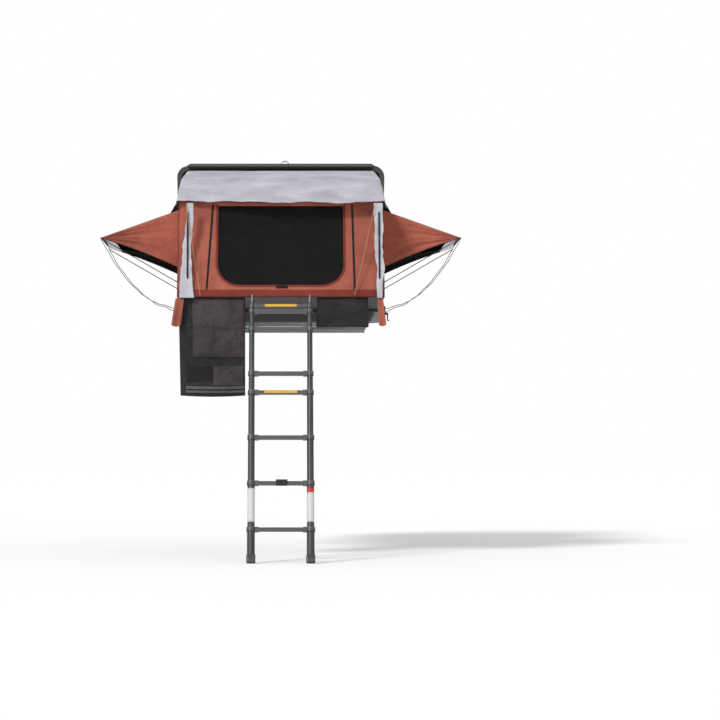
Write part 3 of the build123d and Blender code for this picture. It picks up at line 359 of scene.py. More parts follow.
SLOT_FINISH = {
    "rail": RAIL_METAL, "shell": BLACK_SHELL, "board": BOARD_FACE, "bright": BRIGHT_METAL,
    "dark_metal": COATED_METAL, "rubber": RUBBER, "ladder_metal": LADDER_METAL, "grip": YELLOW_GRIP,
    "webbing": WEBBING, "foam": MATTRESS_CLOTH, "lining": QUILT, "tent_cloth": TERRACOTTA,
    "cover_cloth": PALE_COVER, "mesh": INSECT_NET, "zip": ZIP_TAPE, "bag_cloth": BAG_CLOTH,
    "cord": GREY_CORD, "hem_cord": GOLD_CORD,
}
NODE_FINISH = {"lid_rim": RIM_METAL, "base_tray": BLACK_SHELL}
NODE_FINISH.update({f"awning_rod_{end}_{word}": COATED_METAL for end in ("near", "far") for _, word in SIDES})
node_slots = {part["node"]: part["material_slot"] for part in frame["record"]["subparts"]}
for node, piece in frame["nodes"].items():
    finish = NODE_FINISH.get(node) or SLOT_FINISH[node_slots[node]]
    piece.data.materials.clear()
    piece.data.materials.append(finish)


# ---------------------------------------------------------------- mesh builders
def ripple(x, y, z, size, seed=0.0, rough=3):
    """Smooth noise from about -1 to 1 whose waves are size millimetres long."""
    return noise.fractal(Vector((x / size + seed, y / size, z / size)), 1.0, 2.0, rough,
                         noise_basis="PERLIN_ORIGINAL")


def grid(place, across, along):
    """Points and quads of a surface that place(u, v) gives in millimetres, u and v from 0 to 1."""
    points = [place(i / across, j / along) for j in range(along + 1) for i in range(across + 1)]
    row = across + 1
    quads = [(j * row + i, j * row + i + 1, (j + 1) * row + i + 1, (j + 1) * row + i)
             for j in range(along) for i in range(across)]
    return points, quads


def piece_from(name, surfaces, finishes, facing=None):
    """One mesh object of several surfaces, welded where they meet, turned to face a direction."""
    points, faces = [], []
    for some_points, some_faces in surfaces:
        start = len(points)
        points += [Vector(p) * METRE for p in some_points]
        faces += [tuple(start + i for i in face) for face in some_faces]
    mesh = bpy.data.meshes.new(name)
    mesh.from_pydata(points, [], faces)
    shape = bmesh.new()
    shape.from_mesh(mesh)
    bmesh.ops.remove_doubles(shape, verts=shape.verts, dist=0.0004)
    bmesh.ops.recalc_face_normals(shape, faces=shape.faces)
    if facing:
        lean = sum(((f.normal * f.calc_area()).dot(Vector(facing)) for f in shape.faces))
        if lean < 0:
            bmesh.ops.reverse_faces(shape, faces=shape.faces)
    shape.to_mesh(mesh)
    shape.free()
    for finish in finishes:
        mesh.materials.append(finish)
    return smooth_object(name, mesh)


def evaluated_mesh(piece):
    return bpy.data.meshes.new_from_object(piece.evaluated_get(bpy.context.evaluated_depsgraph_get()))


def smooth_object(name, mesh):
    """A smooth shaded object of the mesh, in the scene."""
    mesh.polygons.foreach_set("use_smooth", [True] * len(mesh.polygons))
    made = bpy.data.objects.new(name, mesh)
    bpy.context.scene.collection.objects.link(made)
    return made


def baked(piece):
    """The piece with its modifiers applied."""
    ready = evaluated_mesh(piece)
    piece.modifiers.clear()
    piece.data = ready
    return piece


def thicken(piece, thick, inner_finish=False, offset=-1.0):
    solid = piece.modifiers.new("Cloth thickness", "SOLIDIFY")
    solid.thickness = thick * METRE
    solid.offset = offset
    solid.use_even_offset = False
    if inner_finish:
        solid.material_offset = 1
    return baked(piece)


def sheet_of(name, place, across, along, finish, facing, thick=CLOTH, offset=-1.0):
    """A sheet of even thickness over the surface that place(u, v) gives."""
    return thicken(piece_from(name, [grid(place, across, along)], [finish], facing), thick, offset=offset)


def cut(piece, *cutters):
    for cutter in cutters:
        opening = piece.modifiers.new("Opening", "BOOLEAN")
        opening.operation, opening.solver, opening.object = "DIFFERENCE", "EXACT", cutter
        bpy.context.view_layer.update()
        baked(piece)
        bpy.data.objects.remove(cutter)
    return piece


def prism(name, outline, depth):
    """A solid between an outline and the same outline moved by depth."""
    near = [Vector(p) for p in outline]
    far = [p + Vector(depth) for p in near]
    count = len(near)
    faces = [tuple(range(count)), tuple(reversed(range(count, 2 * count)))]
    faces += [(i, (i + 1) % count, count + (i + 1) % count, count + i) for i in range(count)]
    return piece_from(name, [(near + far, faces)], [])


def ribbon(name, line, width_way, width, thick, finish, facing):
    """A flat strip whose middle follows line(t); width_way(t) is its crosswise direction."""
    count = 60

    def place(u, v):
        return Vector(line(v)) + Vector(width_way(v)).normalized() * width * (u - 0.5)

    return sheet_of(name, place, 3, count, finish, facing, thick, offset=1.0)


def spline(name, points, radius, finish):
    """A smooth NURBS line through soft corners, as a round cord."""
    curve = bpy.data.curves.new(name, "CURVE")
    curve.dimensions = "3D"
    line = curve.splines.new("NURBS")
    line.points.add(len(points) - 1)
    for place, point in zip(line.points, points):
        place.co = (*[c * METRE for c in point], 1.0)
    line.order_u = 3
    line.use_endpoint_u = True
    curve.resolution_u = 8
    curve.bevel_depth = radius * METRE
    curve.bevel_resolution = 3
    curve.use_fill_caps = True
    curve.materials.append(finish)
    made = bpy.data.objects.new(name, curve)
    bpy.context.scene.collection.objects.link(made)
    return made


def line_points(curve_piece):
    """Points along the middle of a spline."""
    bare = curve_piece.copy()
    bare.data = curve_piece.data.copy()
    bare.data.bevel_depth = 0
    bpy.context.scene.collection.objects.link(bare)
    bpy.context.view_layer.update()
    mesh = evaluated_mesh(bare)
    points = [tuple(v.co) for v in mesh.vertices]
    bpy.data.objects.remove(bare)
    return points


def as_mesh(curve_piece):
    bpy.context.view_layer.update()
    name = curve_piece.name
    mesh = evaluated_mesh(curve_piece)
    bpy.data.objects.remove(curve_piece)
    return smooth_object(name, mesh)


def mount(piece, body, gives=None, instead_of=()):
    """Puts a finished piece on its body and hides the parts it stands in for; a piece that gives gets a mesh
    of its own.
    """
    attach(piece, body)
    if instead_of:
        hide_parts(*instead_of)
    if gives:
        joint, axis, anchor, keep = gives
        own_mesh(piece)
        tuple(axis)
        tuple(anchor)
    return piece


# ---------------------------------------------------------------- camera
camera_data = bpy.data.cameras.new("Camera")
camera_data.lens, camera_data.sensor_width = 96.6, 36.0
camera_data.shift_x, camera_data.shift_y = 0.110, 0.135
camera_data.clip_end = 200.0
camera = bpy.data.objects.new("Camera", camera_data)
camera.location = (0.0, -14.66, -0.967)
camera.rotation_euler = (radians(90), 0, 0)
bpy.context.scene.collection.objects.link(camera)
bpy.context.scene.camera = camera

# ---------------------------------------------------------------- cords
CORD_R = 2.5
NEAR_ROUTE = [(1243, -1330, 541), (1214, -1286, 488), (1187, -1239, 441), (1169, -1184, 400),
              (1136, -1139, 356), (1109, -1095, 320), (1090, -1040, 292), (1063, -999, 259),
              (1035, -945, 237), (1011, -904, 212), (983, -852, 189), (955, -809, 178), (933, -756, 159),
              (907, -708, 152), (880, -661, 141), (851, -614, 141), (822, -562, 134), (794, -517, 124),
              (770.5, -470, 122)]
FAR_ROUTE = [(1243, -684, 541), (1210, -665, 479), (1181, -648, 424), (1139, -624, 373),
             (1107, -603, 328), (1075, -582, 287), (1037, -569, 257), (1009, -550, 222),
             (971, -528, 193), (942, -504, 177), (909, -484, 150), (871, -464, 142), (838, -445, 137),
             (809, -432, 115), (770.5, -410, 106)]
HEM_ROUTES = {"left": ([(-640, -1608, 742), (-594, -1649, 430), (-541, -1684, 122)], 0.632),
              "right": ([(634, -1608, 738), (570, -1649, 430), (494, -1684, 122)], 0.636)}


def lay_cord(name, route, finish, body, gives, instead_of):
    curve = spline(name, route, CORD_R, finish)
    path = line_points(curve)
    piece = as_mesh(curve)
    mount(piece, body, gives, instead_of)
    [c * METRE for c in route[0]]
    return piece


def awning_gives(side):
    """Each awning folds flat against its wall, square to its own slope."""
    return ("floor_fold", (-side * sin(AWNING_LEAN), 0, cos(AWNING_LEAN)), (side * 0.705, 0, 0.2), 0.02)


for side, word in SIDES:
    for end, route, length in (("near", NEAR_ROUTE, 1.099), ("far", FAR_ROUTE, 0.725)):
        lay_cord(f"guy_cord_{end}_{word}", [(side * x, y, z) for x, y, z in route], GREY_CORD,
                 f"awning_{word}", awning_gives(side), (f"awning_cords_{word}",))
for word, (route, length) in HEM_ROUTES.items():
    lay_cord(f"hem_cord_{word}", route, GOLD_CORD, "floor", FLOOR_FOLDS,
             ("hem_cords",))


# ---------------------------------------------------------------- tent body
def roof_height(y):
    if y <= MIDDLE_CREST[0]:
        share = (y - FRONT_CREST[0]) / (MIDDLE_CREST[0] - FRONT_CREST[0])
        return FRONT_CREST[1] + share * (MIDDLE_CREST[1] - FRONT_CREST[1])
    return MIDDLE_CREST[1] + ROOF_SLOPE * (y - MIDDLE_CREST[0])


def wall_point(x, rise, lift=0.0):
    """A point of the front wall, rise up its slope, lift out from the slack cloth."""
    slack = sin(pi * (x + TENT_HALF) / (2 * TENT_HALF)) * sin(pi * min(max(rise / WALL_RISE, 0), 1))
    out = lift - 7.0 * slack + 3.0 * slack * ripple(x, 0, rise, 260, 3.1)
    return (x, FOOT[0] + WALL_UP[0] * rise - WALL_UP[1] * out, FOOT[1] + WALL_UP[1] * rise + WALL_UP[0] * out)


def door_outline(margin=0.0, steps=10):
    """The door's rounded outline in the wall's own X and rise, from its top left round to its top right."""
    half, low, corner = DOOR_HALF + margin, DOOR_LOW - margin, DOOR_CORNER + margin
    line = [(-half, DOOR_HIGH + margin)]
    for side, start in ((-1, pi), (1, 1.5 * pi)):
        for step in range(steps + 1):
            turn = start + step / steps * pi / 2
            line.append((side * (half - corner) + corner * cos(turn), low + corner + corner * sin(turn)))
    line.append((half, DOOR_HIGH + margin))
    return line


def roof_surface(y_from, y_to, along):
    span = y_to - y_from

    def place(u, v):
        x, y = TENT_HALF * (2 * u - 1), y_from + span * v
        slack = sin(pi * u) * sin(pi * v)
        return (x, y, roof_height(y) - 11.0 * slack + 2.0 * slack * ripple(x, y, 0, 200, 7.7))

    return grid(place, 48, along)


def side_surface(side, front_line, back_line, across, along):
    """A side wall between two edge lines, its top on the roof, drawn in a little by its tension."""
    def place(u, v):
        (y0, z0), (y1, z1) = front_line(v), back_line(v)
        y, z = y0 + (y1 - y0) * u, z0 + (z1 - z0) * u
        top_line = front_line(1)[1] + (back_line(1)[1] - front_line(1)[1]) * (
            (y - front_line(1)[0]) / (back_line(1)[0] - front_line(1)[0]))
        z += v ** 3 * max(0.0, roof_height(y) - top_line) if y > FRONT_CREST[0] else 0.0
        slack = sin(pi * u) * sin(pi * v)
        return (side * (TENT_HALF - 6.0 * slack + 3.0 * slack * ripple(side * 50, y, z, 220, 1.3)), y, z)

    return grid(place, across, along)


def front_edge(v):
    return (FOOT[0] + (FRONT_CREST[0] - FOOT[0]) * v, FOOT[1] + (FRONT_CREST[1] - FOOT[1]) * v)


def fold_edge(shift):
    def edge(v):
        return (FOLD_Y + shift, FOOT[1] + (roof_height(FOLD_Y + shift) - FOOT[1]) * v)
    return edge


def lid_side_edge(v):
    knee = 0.06
    if v < knee:
        share = v / knee
        return tuple(a + (b - a) * share for a, b in zip(BACK_LOW, BACK_HIGH))
    share = (v - knee) / (1 - knee)
    top = (LID_EDGE_Y, roof_height(LID_EDGE_Y))
    return tuple(a + (b - a) * share for a, b in zip(BACK_HIGH, top))


def round_rectangle(half_x, half_y, corner, steps=8):
    line = []
    for quarter, (sx, sy) in enumerate(((1, 1), (-1, 1), (-1, -1), (1, -1))):
        for step in range(steps + 1):
            turn = quarter * pi / 2 + step / steps * pi / 2
            line.append((sx * (half_x - corner) + corner * cos(turn),
                         sy * (half_y - corner) + corner * sin(turn)))
    return line


def rounded_window(side):
    mid_y, mid_z = (WINDOW_FRONT + WINDOW_BACK) / 2, (WINDOW_LOW + WINDOW_HIGH) / 2
    outline = round_rectangle((WINDOW_BACK - WINDOW_FRONT) / 2, (WINDOW_HIGH - WINDOW_LOW) / 2, 40.0, 6)
    return [(side * (TENT_HALF - 60), mid_y + y, mid_z + z) for y, z in outline]


front_skin = piece_from("front_skin", [
    grid(lambda u, v: wall_point(TENT_HALF * (2 * u - 1), WALL_RISE * v), 56, 28),
    roof_surface(FRONT_CREST[0], MIDDLE_CREST[0], 24),
    roof_surface(MIDDLE_CREST[0], FOLD_Y - SEAM, 12),
    side_surface(-1, front_edge, fold_edge(-SEAM), 40, 28),
    side_surface(1, front_edge, fold_edge(-SEAM), 40, 28),
], [TERRACOTTA, NEAR_BLACK_INSIDE], facing=(0, -1, 1))
thicken(front_skin, 2.0, inner_finish=True)
door_cutter = prism("door_cutter", [
    (x, FOOT[0] + WALL_UP[0] * rise - WALL_UP[1] * 60, FOOT[1] + WALL_UP[1] * rise + WALL_UP[0] * 60)
    for x, rise in door_outline()], (0, WALL_UP[1] * 120, -WALL_UP[0] * 120))
cut(front_skin, door_cutter, *[prism(f"window_cutter_{word}", rounded_window(side), (side * 120, 0, 0))
                               for side, word in SIDES])
mount(front_skin, "floor", FLOOR_FOLDS, ("tent_front",))

rear_skin = piece_from("rear_skin", [
    roof_surface(FOLD_Y + SEAM, LID_EDGE_Y, 24),
    side_surface(-1, fold_edge(SEAM), lid_side_edge, 44, 28),
    side_surface(1, fold_edge(SEAM), lid_side_edge, 44, 28),
], [TERRACOTTA, NEAR_BLACK_INSIDE], facing=(0, 0, 1))
thicken(rear_skin, 2.0, inner_finish=True)
mount(rear_skin, "base", LID_CLOSES, ("tent_rear",))


def sheet_area(piece):
    """Half of the whole surface, as a sheet has two sides."""
    return sum(face.area for face in piece.data.polygons) / 2


def hang(piece):
    """Works out a sheet's flat size from its own mesh: the area over the longest side."""
    length = max(*piece.dimensions, 0.02)
    width = max(sheet_area(piece) / length, 0.0105)


def drape(piece, body, gives, instead_of=()):
    """A sheet of cloth mounted, its flat size worked out."""
    mount(piece, body, gives, instead_of)
    hang(piece)


hang(front_skin)
hang(rear_skin)

# Piping along the wall's corners and the roof's edges
for side, word in SIDES:
    corner_line = [(side * (TENT_HALF + 0.5), *front_edge(v / 8)) for v in range(9)]
    corner_line += [(side * (TENT_HALF + 0.5), y, roof_height(y))
                    for y in (-1300, -1150, -1000, -870, -700, -563)]
    mount(as_mesh(spline(f"corner_piping_{word}", corner_line, 3.0, TERRACOTTA_HEM)), "floor",
          FLOOR_FOLDS)


# Hem of the front wall, drawn over the board's edge
HEM_TURN, HEM_RISE = 0.45, 26.0


def hem_point(u, v):
    x = TENT_HALF * (2 * u - 1)
    puff = 1.4 * ripple(x, 0, v * 40, 90, 5.0)
    if v > HEM_TURN:
        return wall_point(x, (v - HEM_TURN) / (1 - HEM_TURN) * HEM_RISE, 1.2 + puff)
    return (x, BOARD_FACE_Y - 0.6 - abs(puff) * 0.5, BOARD_LOW + (FOOT[1] - BOARD_LOW) * v / HEM_TURN)


front_hem = sheet_of("front_hem", hem_point, 90, 8, TERRACOTTA_HEM, (0, -1, 0), 1.2, offset=1.0)
drape(front_hem, "floor", FLOOR_FOLDS)


# Binding round the door
def along_line(points):
    """A function from 0 to 1 along a polyline of 2-D points."""
    steps = [0.0]
    for a, b in zip(points, points[1:]):
        steps.append(steps[-1] + hypot(b[0] - a[0], b[1] - a[1]))

    def at(share):
        goal = share * steps[-1]
        for k in range(len(points) - 1):
            if goal <= steps[k + 1] or k == len(points) - 2:
                part = (goal - steps[k]) / max(steps[k + 1] - steps[k], 1e-9)
                return tuple(a + (b - a) * part for a, b in zip(points[k], points[k + 1]))

    return at


def wall_band(name, inner, outer, lift, thick, finish, count=120):
    """A band of cloth on the front wall between two lines in the wall's X and rise."""
    low_line, high_line = along_line(inner), along_line(outer)

    def place(u, v):
        (x0, r0), (x1, r1) = low_line(v), high_line(v)
        return wall_point(x0 + (x1 - x0) * u, r0 + (r1 - r0) * u, lift)

    return sheet_of(name, place, 4, count, finish, (0, -1, 0), thick, offset=1.0)


door_binding = wall_band("door_binding", door_outline(1.0), door_outline(15.0), 0.6, 1.2, TERRACOTTA_HEM)
drape(door_binding, "floor", FLOOR_FOLDS)

door_tab = wall_band("door_tab", [(-33, 36), (47, 36)], [(-33, 58), (47, 58)], 2.0, 1.6, BLACK_CLOTH, 20)
drape(door_tab, "floor", FLOOR_FOLDS)

# Zips: woven tape with a raised row of teeth and a slider
ZIP_LINES = {"left": [(-500, 32), (-462, 650)], "right": [(498, 32), (486, 650)]}
for word, ends in ZIP_LINES.items():
    tape = wall_band(f"zip_tape_{word}", [(x - 7, r) for x, r in ends], [(x + 7, r) for x, r in ends],
                     0.8, 0.8, ZIP_TAPE, 80)
    tooth_boxes = []
    along = along_line(ends)
    count = 150
    for k in range(count):
        x, rise = along((k + 0.5) / count)
        reach = 3.2 if k % 2 else -3.2
        corners = [wall_point(x + dx, rise + dr, dl) for dl in (1.4, 3.4)
                   for dx, dr in ((-reach * 0.3, -1.3), (reach, -1.3), (reach, 1.3), (-reach * 0.3, 1.3))]
        tooth_boxes.append((corners, [(0, 1, 2, 3), (7, 6, 5, 4), (0, 4, 5, 1), (1, 5, 6, 2), (2, 6, 7, 3),
                                      (3, 7, 4, 0)]))
    teeth = piece_from(f"zip_teeth_{word}", tooth_boxes, [RUBBER])
    slide_x, slide_rise = along(0.03)
    pull = spline(f"zip_pull_{word}", [wall_point(slide_x, slide_rise + d, l) for d, l in
                                       ((10, 4), (0, 8), (-14, 7), (-26, 4))], 2.2, COATED_METAL)
    for piece in (tape, teeth):
        mount(piece, "floor", FLOOR_FOLDS, ("door_zips",))
    mount(as_mesh(pull), "floor", FLOOR_FOLDS)
    hang(tape)


# Insect net in the door and the windows
def door_net(u, v):
    line_low, line_high = DOOR_LOW - NET_LAP, DOOR_HIGH + NET_LAP
    rise = line_low + (line_high - line_low) * v
    reach, corner = DOOR_HALF + NET_LAP, DOOR_CORNER + NET_LAP
    depth = corner - (rise - line_low)
    if depth > 0:
        reach -= corner - (corner ** 2 - depth ** 2) ** 0.5
    x = reach * (2 * u - 1)
    slack = sin(pi * u) * sin(pi * v)
    return wall_point(x, rise, -4.5 - 6 * slack + 4 * slack * ripple(x, 0, rise, 180, 9.0))


net_door = sheet_of("door_net", door_net, 48, 40, INSECT_NET, (0, -1, 0), 0.6)
drape(net_door, "floor", FLOOR_FOLDS, ("insect_mesh",))
for side, word in SIDES:
    def window_net(u, v):
        y = WINDOW_FRONT - NET_LAP + (WINDOW_BACK - WINDOW_FRONT + 2 * NET_LAP) * u
        z = WINDOW_LOW - NET_LAP + (WINDOW_HIGH - WINDOW_LOW + 2 * NET_LAP) * v
        return (side * (TENT_HALF - 9.5 - 3 * sin(pi * u) * sin(pi * v)), y, z)

    net = sheet_of(f"window_net_{word}", window_net, 24, 20, INSECT_NET, (side, 0, 0), 0.6)
    drape(net, "floor", FLOOR_FOLDS)


# ---------------------------------------------------------------- rain cover
def cover_height(y):
    return roof_height(y) + COVER_LIFT


def hem_share(x):
    """How much of the overhang is there: the left corner is pulled up short."""
    share = min(max((x + 700) / 800, 0), 1)
    return 0.45 + 0.55 * (share * share * (3 - 2 * share))


def cover_row(y):
    """Height of the cover's top at a row, its overhang included."""
    if y < FRONT_CREST[0]:
        share = (FRONT_CREST[0] - y) / (FRONT_CREST[0] - COVER_HEM[0])
        return cover_height(FRONT_CREST[0]) + (COVER_HEM[1] - cover_height(FRONT_CREST[0])) * share
    return cover_height(y)


def cover_surface(y_from, y_to, along, has_hem):
    flat = COVER_HALF - 4

    def place(u, v):
        spread = (2 * u - 1) * (flat + COVER_DROP)
        x = max(-flat, min(flat, spread))
        down = abs(spread) - flat if abs(spread) > flat else 0.0
        start = FRONT_CREST[0] - (FRONT_CREST[0] - y_from) * hem_share(x) if has_hem else y_from
        y = start + (y_to - start) * v
        z = cover_row(y)
        near_hem = max(0.0, 1 - (y - start) / HEM_FOLDS_REACH) if has_hem else 0.0
        wave = 2.0 * ripple(x, y, 0, 300, 2.2) * sin(pi * u)
        wave += near_hem * 15.0 * ripple(x * 0.45 + y * 0.8, y * 2.2, 0, 110, 4.4, 4)
        lift = 3.0 + wave + 3.0 * near_hem
        if down:
            push = 4 + 5 * ripple(0, y, down, 130, 6.0)
            return ((flat + min(push, 12) * min(down / 10, 1)) * (1 if spread > 0 else -1), y,
                    z + lift * max(0, 1 - down / 10) - down)
        return (x, y, z + lift)

    return grid(place, 96, along)


cover_skin = thicken(piece_from("cover_skin_front", [cover_surface(COVER_HEM[0], FOLD_Y - SEAM, 64, True)],
                                [PALE_COVER], (0, 0, 1)), CLOTH)
drape(cover_skin, "floor", FLOOR_FOLDS, ("cover_front",))
cover_back = thicken(piece_from("cover_skin_rear", [cover_surface(FOLD_Y + SEAM, LID_EDGE_Y - 18, 30, False)],
                                [PALE_COVER], (0, 0, 1)), CLOTH)
drape(cover_back, "base", LID_CLOSES, ("cover_rear",))


# Straps of the cover, down to the board's corners
def strap_point(x, share, lift=0.0):
    run = hypot(STRAP_HEAD[0] - STRAP_FOOT[0], STRAP_HEAD[1] - STRAP_FOOT[1])
    up = ((STRAP_HEAD[0] - STRAP_FOOT[0]) / run, (STRAP_HEAD[1] - STRAP_FOOT[1]) / run)
    return (x, STRAP_FOOT[0] + up[0] * run * share - up[1] * lift,
            STRAP_FOOT[1] + up[1] * run * share + up[0] * lift)


STRAPS = {
    "left": ([(-684, 0), (-655, 0.5), (-634, 1)], [(-584, 0), (-600, 0.5), (-592, 1)], -628),
    "right": ([(648, 0), (640, 0.45), (628, 1)], [(682, 0), (694, 0.35), (690, 1)], 664),
}
for word, (left_line, right_line, zip_x) in STRAPS.items():
    left_at, right_at = (along_line([(x, s * STRAP_RUN) for x, s in line])
                         for line in (left_line, right_line))

    def strap_place(u, v):
        (x0, s0), (x1, s1) = left_at(v), right_at(v)
        x, share = x0 + (x1 - x0) * u, (s0 + (s1 - s0) * u) / STRAP_RUN
        free = sin(pi * min(max(share, 0), 1))
        x += 16.0 * ripple(0, 0, share * STRAP_RUN, 150, 2.5 + len(word)) * free
        wave = 8.0 * ripple(x * 2, 0, share * STRAP_RUN, 90, 8.0 + len(word)) * free ** 0.5
        return strap_point(x, share, 3.0 + wave)

    strap = sheet_of(f"cover_strap_{word}", strap_place, 14, 70, PALE_COVER, (0, -1, 0))
    drape(strap, "floor", FLOOR_FOLDS, ("cover_straps",))
    strap_zip = ribbon(f"strap_zip_{word}", lambda v, zx=zip_x: strap_point(zx, 0.2 + 0.7 * v, 9.0),
                       lambda v: (1, 0, 0), 11, 1.6, ZIP_TAPE, (0, -1, 0))
    drape(strap_zip, "floor", FLOOR_FOLDS)


# ---------------------------------------------------------------- awnings
def awning_line(share, wall_height):
    """How far out and how high a straight edge from the wall to the tip is at a share of its run."""
    return (AWNING_WALL + (AWNING_TIP[0] - AWNING_WALL) * share,
            wall_height + (AWNING_TIP[1] - wall_height) * share)


def awning_low_edge(share):
    x, z = awning_line(share, AWNING_LOW)
    return x, z + AWNING_SAG * sin(pi * share)


def awning_surfaces(side):
    def top(u, v):
        x, z = awning_line(u, AWNING_HIGH)
        y = AWNING_FRONT + (AWNING_BACK - AWNING_FRONT) * v
        slack = sin(pi * u) * sin(pi * v)
        return (side * x, y, z - 14 * slack + 4 * slack * ripple(x, y, 0, 130, 5.5))

    def gusset(row_y, out):
        def place(u, v):
            (x, low), (_, high) = awning_low_edge(u), awning_line(u, AWNING_HIGH)
            folds = sin(pi * u) * (10.0 * sin(2 * pi * (2.3 * v + 0.2)) + 5.0 * sin(2 * pi * (5.1 * v + 0.6)))
            return (side * x, row_y + out * folds * sin(pi * v) ** 0.5, low + (high - low) * v)
        return place

    return [grid(top, 40, 36), grid(gusset(AWNING_FRONT, -1), 40, 28), grid(gusset(AWNING_BACK, 1), 40, 28)]


for side, word in SIDES:
    hood = piece_from(f"awning_skin_{word}", awning_surfaces(side), [TERRACOTTA, NEAR_BLACK_INSIDE], (side, 0, 2))
    thicken(hood, 1.6, inner_finish=True)
    drape(hood, f"awning_{word}", awning_gives(side),
          (f"awning_{word}",))
    for end, row_y, out in (("near", AWNING_FRONT, -1), ("far", AWNING_BACK, 1)):
        hem_line = [(side * x, row_y, z) for x, z in map(awning_low_edge, (0, 0.2, 0.4, 0.6, 0.8, 1))]
        mount(as_mesh(spline(f"awning_hem_{end}_{word}", hem_line, 2.6, BLACK_CLOTH)), f"awning_{word}",
              awning_gives(side))
        hook_x, hook_y = side * (AWNING_TIP[0] - 4), row_y + out * 8
        hook = spline(f"wire_hook_{end}_{word}", [(hook_x, row_y, 549), (hook_x, row_y + out * 5, 556),
                                                  (hook_x, hook_y, 551), (hook_x, hook_y, 544),
                                                  (hook_x, hook_y - out, 538)], 1.5, BRIGHT_METAL)
        mount(as_mesh(hook), f"awning_{word}", awning_gives(side))

    def tip_patch(u, v):
        x, low = awning_low_edge(0.82 + 0.18 * u)
        return (side * x, AWNING_FRONT + 3 + (AWNING_BACK - AWNING_FRONT - 6) * v,
                low - 2 + 10 * sin(pi * v))

    patch = sheet_of(f"awning_tip_patch_{word}", tip_patch, 8, 30, PALE_COVER, (0, 0, -1))
    drape(patch, f"awning_{word}", awning_gives(side))

    # A black triangular sheet out from each side wall, above the middle of the awning.
    def black_triangle_place(u, v):
        return (side * (TENT_HALF + 1 + 88 * v * u), -1010 + 4 * ripple(u * 90, 0, v * 90, 60, 2.0),
                900 - 150 * u)

    flap = sheet_of(f"black_side_triangle_{word}", black_triangle_place, 10, 10, BLACK_CLOTH, (0, -1, 0))
    drape(flap, "floor", FLOOR_FOLDS)


# ---------------------------------------------------------------- hung storage
def bulge_sheet(name, left, right, top, bottom, row_y, depth, finish, seed, crumple, across=60, along=50,
                pinches=(), thick=1.2):
    """A slack front panel that bellies out from row_y and falls into folds."""
    def place(u, v):
        x, z = left + (right - left) * u, bottom + (top - bottom) * v
        belly = (sin(pi * u) ** 0.4) * (sin(pi * v) ** 0.35)
        sag = 0.55 + 0.45 * (1 - v)
        folds = ripple(x * 1.4, 0, z * 0.8, 120, seed, 4) + 0.5 * ripple(x * 0.7, 0, z * 2.4, 70, seed + 4, 4)
        pinch = max((exp(-((z - at) / 14) ** 2) for at in pinches), default=0)
        return (x + 3 * ripple(0, x, z, 160, seed + 2), row_y - 0.5 - belly * max(
            1.0, depth * sag * (1 - 0.75 * pinch) + crumple * folds), z)

    return sheet_of(name, place, across, along, finish, (0, -1, 0), thick)


BACK_Y = -1636.0


def backing(u, v):
    left, right, low, high = -690 + 14 * (1 - v), -240, -552, 109
    x, z = left + (right - left) * u, low + (high - low) * v
    return (x, BACK_Y + 4 + 3 * ripple(x, 0, z, 170, 1.0), z - 8 * sin(pi * u) * (1 - v))


organiser_back = sheet_of("organiser_back", backing, 40, 50, DARK_BAG, (0, -1, 0))
organiser_bag = bulge_sheet("organiser_bag", -596, -244, 108, -296, BACK_Y, 22, BAG_CLOTH, 3.0, 12.0,
                            pinches=(-111,))
organiser_pocket = bulge_sheet("organiser_pocket", -455, -245, -352, -488, BACK_Y, 14, BAG_CLOTH, 8.0, 3.0,
                               30, 24)
organiser_net = bulge_sheet("organiser_net", -644, -464, -347, -455, BACK_Y, 5, ZIP_TAPE, 5.0, 1.5,
                            24, 18, thick=0.8)
drape(organiser_back, "floor", BAGS_FOLD, ("organiser",))
for piece in (organiser_bag, organiser_pocket, organiser_net):
    drape(piece, "floor", BAGS_FOLD)
for number, (low_z, high_z) in enumerate(((-507, -487), (-532, -515)), 1):
    band = ribbon(f"organiser_band_{number}", lambda v, z=(low_z + high_z) / 2: (
        -640 + 396 * v, BACK_Y - 0.5 - 3 * sin(pi * v), z - 4 * sin(pi * v)), lambda v: (0, 0, 1),
        high_z - low_z, 1.4, WEBBING, (0, -1, 0))
    drape(band, "floor", BAGS_FOLD)

shoe_front = bulge_sheet("shoe_bag_front", 240, 590, 109, -92, -1640, 20, DARK_BAG, 6.0, 11.0)
drape(shoe_front, "floor", BAGS_FOLD, ("shoe_bag",))

FLAPS = {"left": (-708, -650, -738, -672, -79), "right": (652, 688, 658, 710, -76)}
for word, (top_left, top_right, low_left, low_right, low_z) in FLAPS.items():
    def flap_place(u, v):
        left = low_left + (top_left - low_left) * v
        right = low_right + (top_right - low_right) * v
        z = low_z + (102 - low_z) * v - 10 * sin(pi * u) * (1 - v)
        y = -1664 - 8 * sin(pi * v) - 7 * sin(3 * pi * u) * (1 - v * 0.7)
        return (left + (right - left) * u, y, z)

    flap = sheet_of(f"corner_flap_{word}", flap_place, 16, 30, TERRACOTTA, (0, -1, 0), 1.6)
    drape(flap, "floor", BAGS_FOLD, ("corner_flaps",))


# ---------------------------------------------------------------- padding
def rounded_block(name, half, radius, cuts, shape, finish):
    """A closed block with rounded edges whose points are then moved by shape(point)."""
    block = bmesh.new()
    bmesh.ops.create_cube(block, size=2.0)
    bmesh.ops.subdivide_edges(block, edges=block.edges, cuts=cuts, use_grid_fill=True)
    core = [h - radius for h in half]
    for vertex in block.verts:
        point = Vector(vertex.co[i] * half[i] for i in range(3))
        inner = Vector(max(-core[i], min(core[i], point[i])) for i in range(3))
        away = point - inner
        if away.length > 1e-6:
            point = inner + away.normalized() * radius
        vertex.co = Vector(shape(point)) * METRE
    mesh = bpy.data.meshes.new(name)
    bmesh.ops.recalc_face_normals(block, faces=block.faces)
    block.to_mesh(mesh)
    block.free()
    mesh.materials.append(finish)
    return smooth_object(name, mesh)


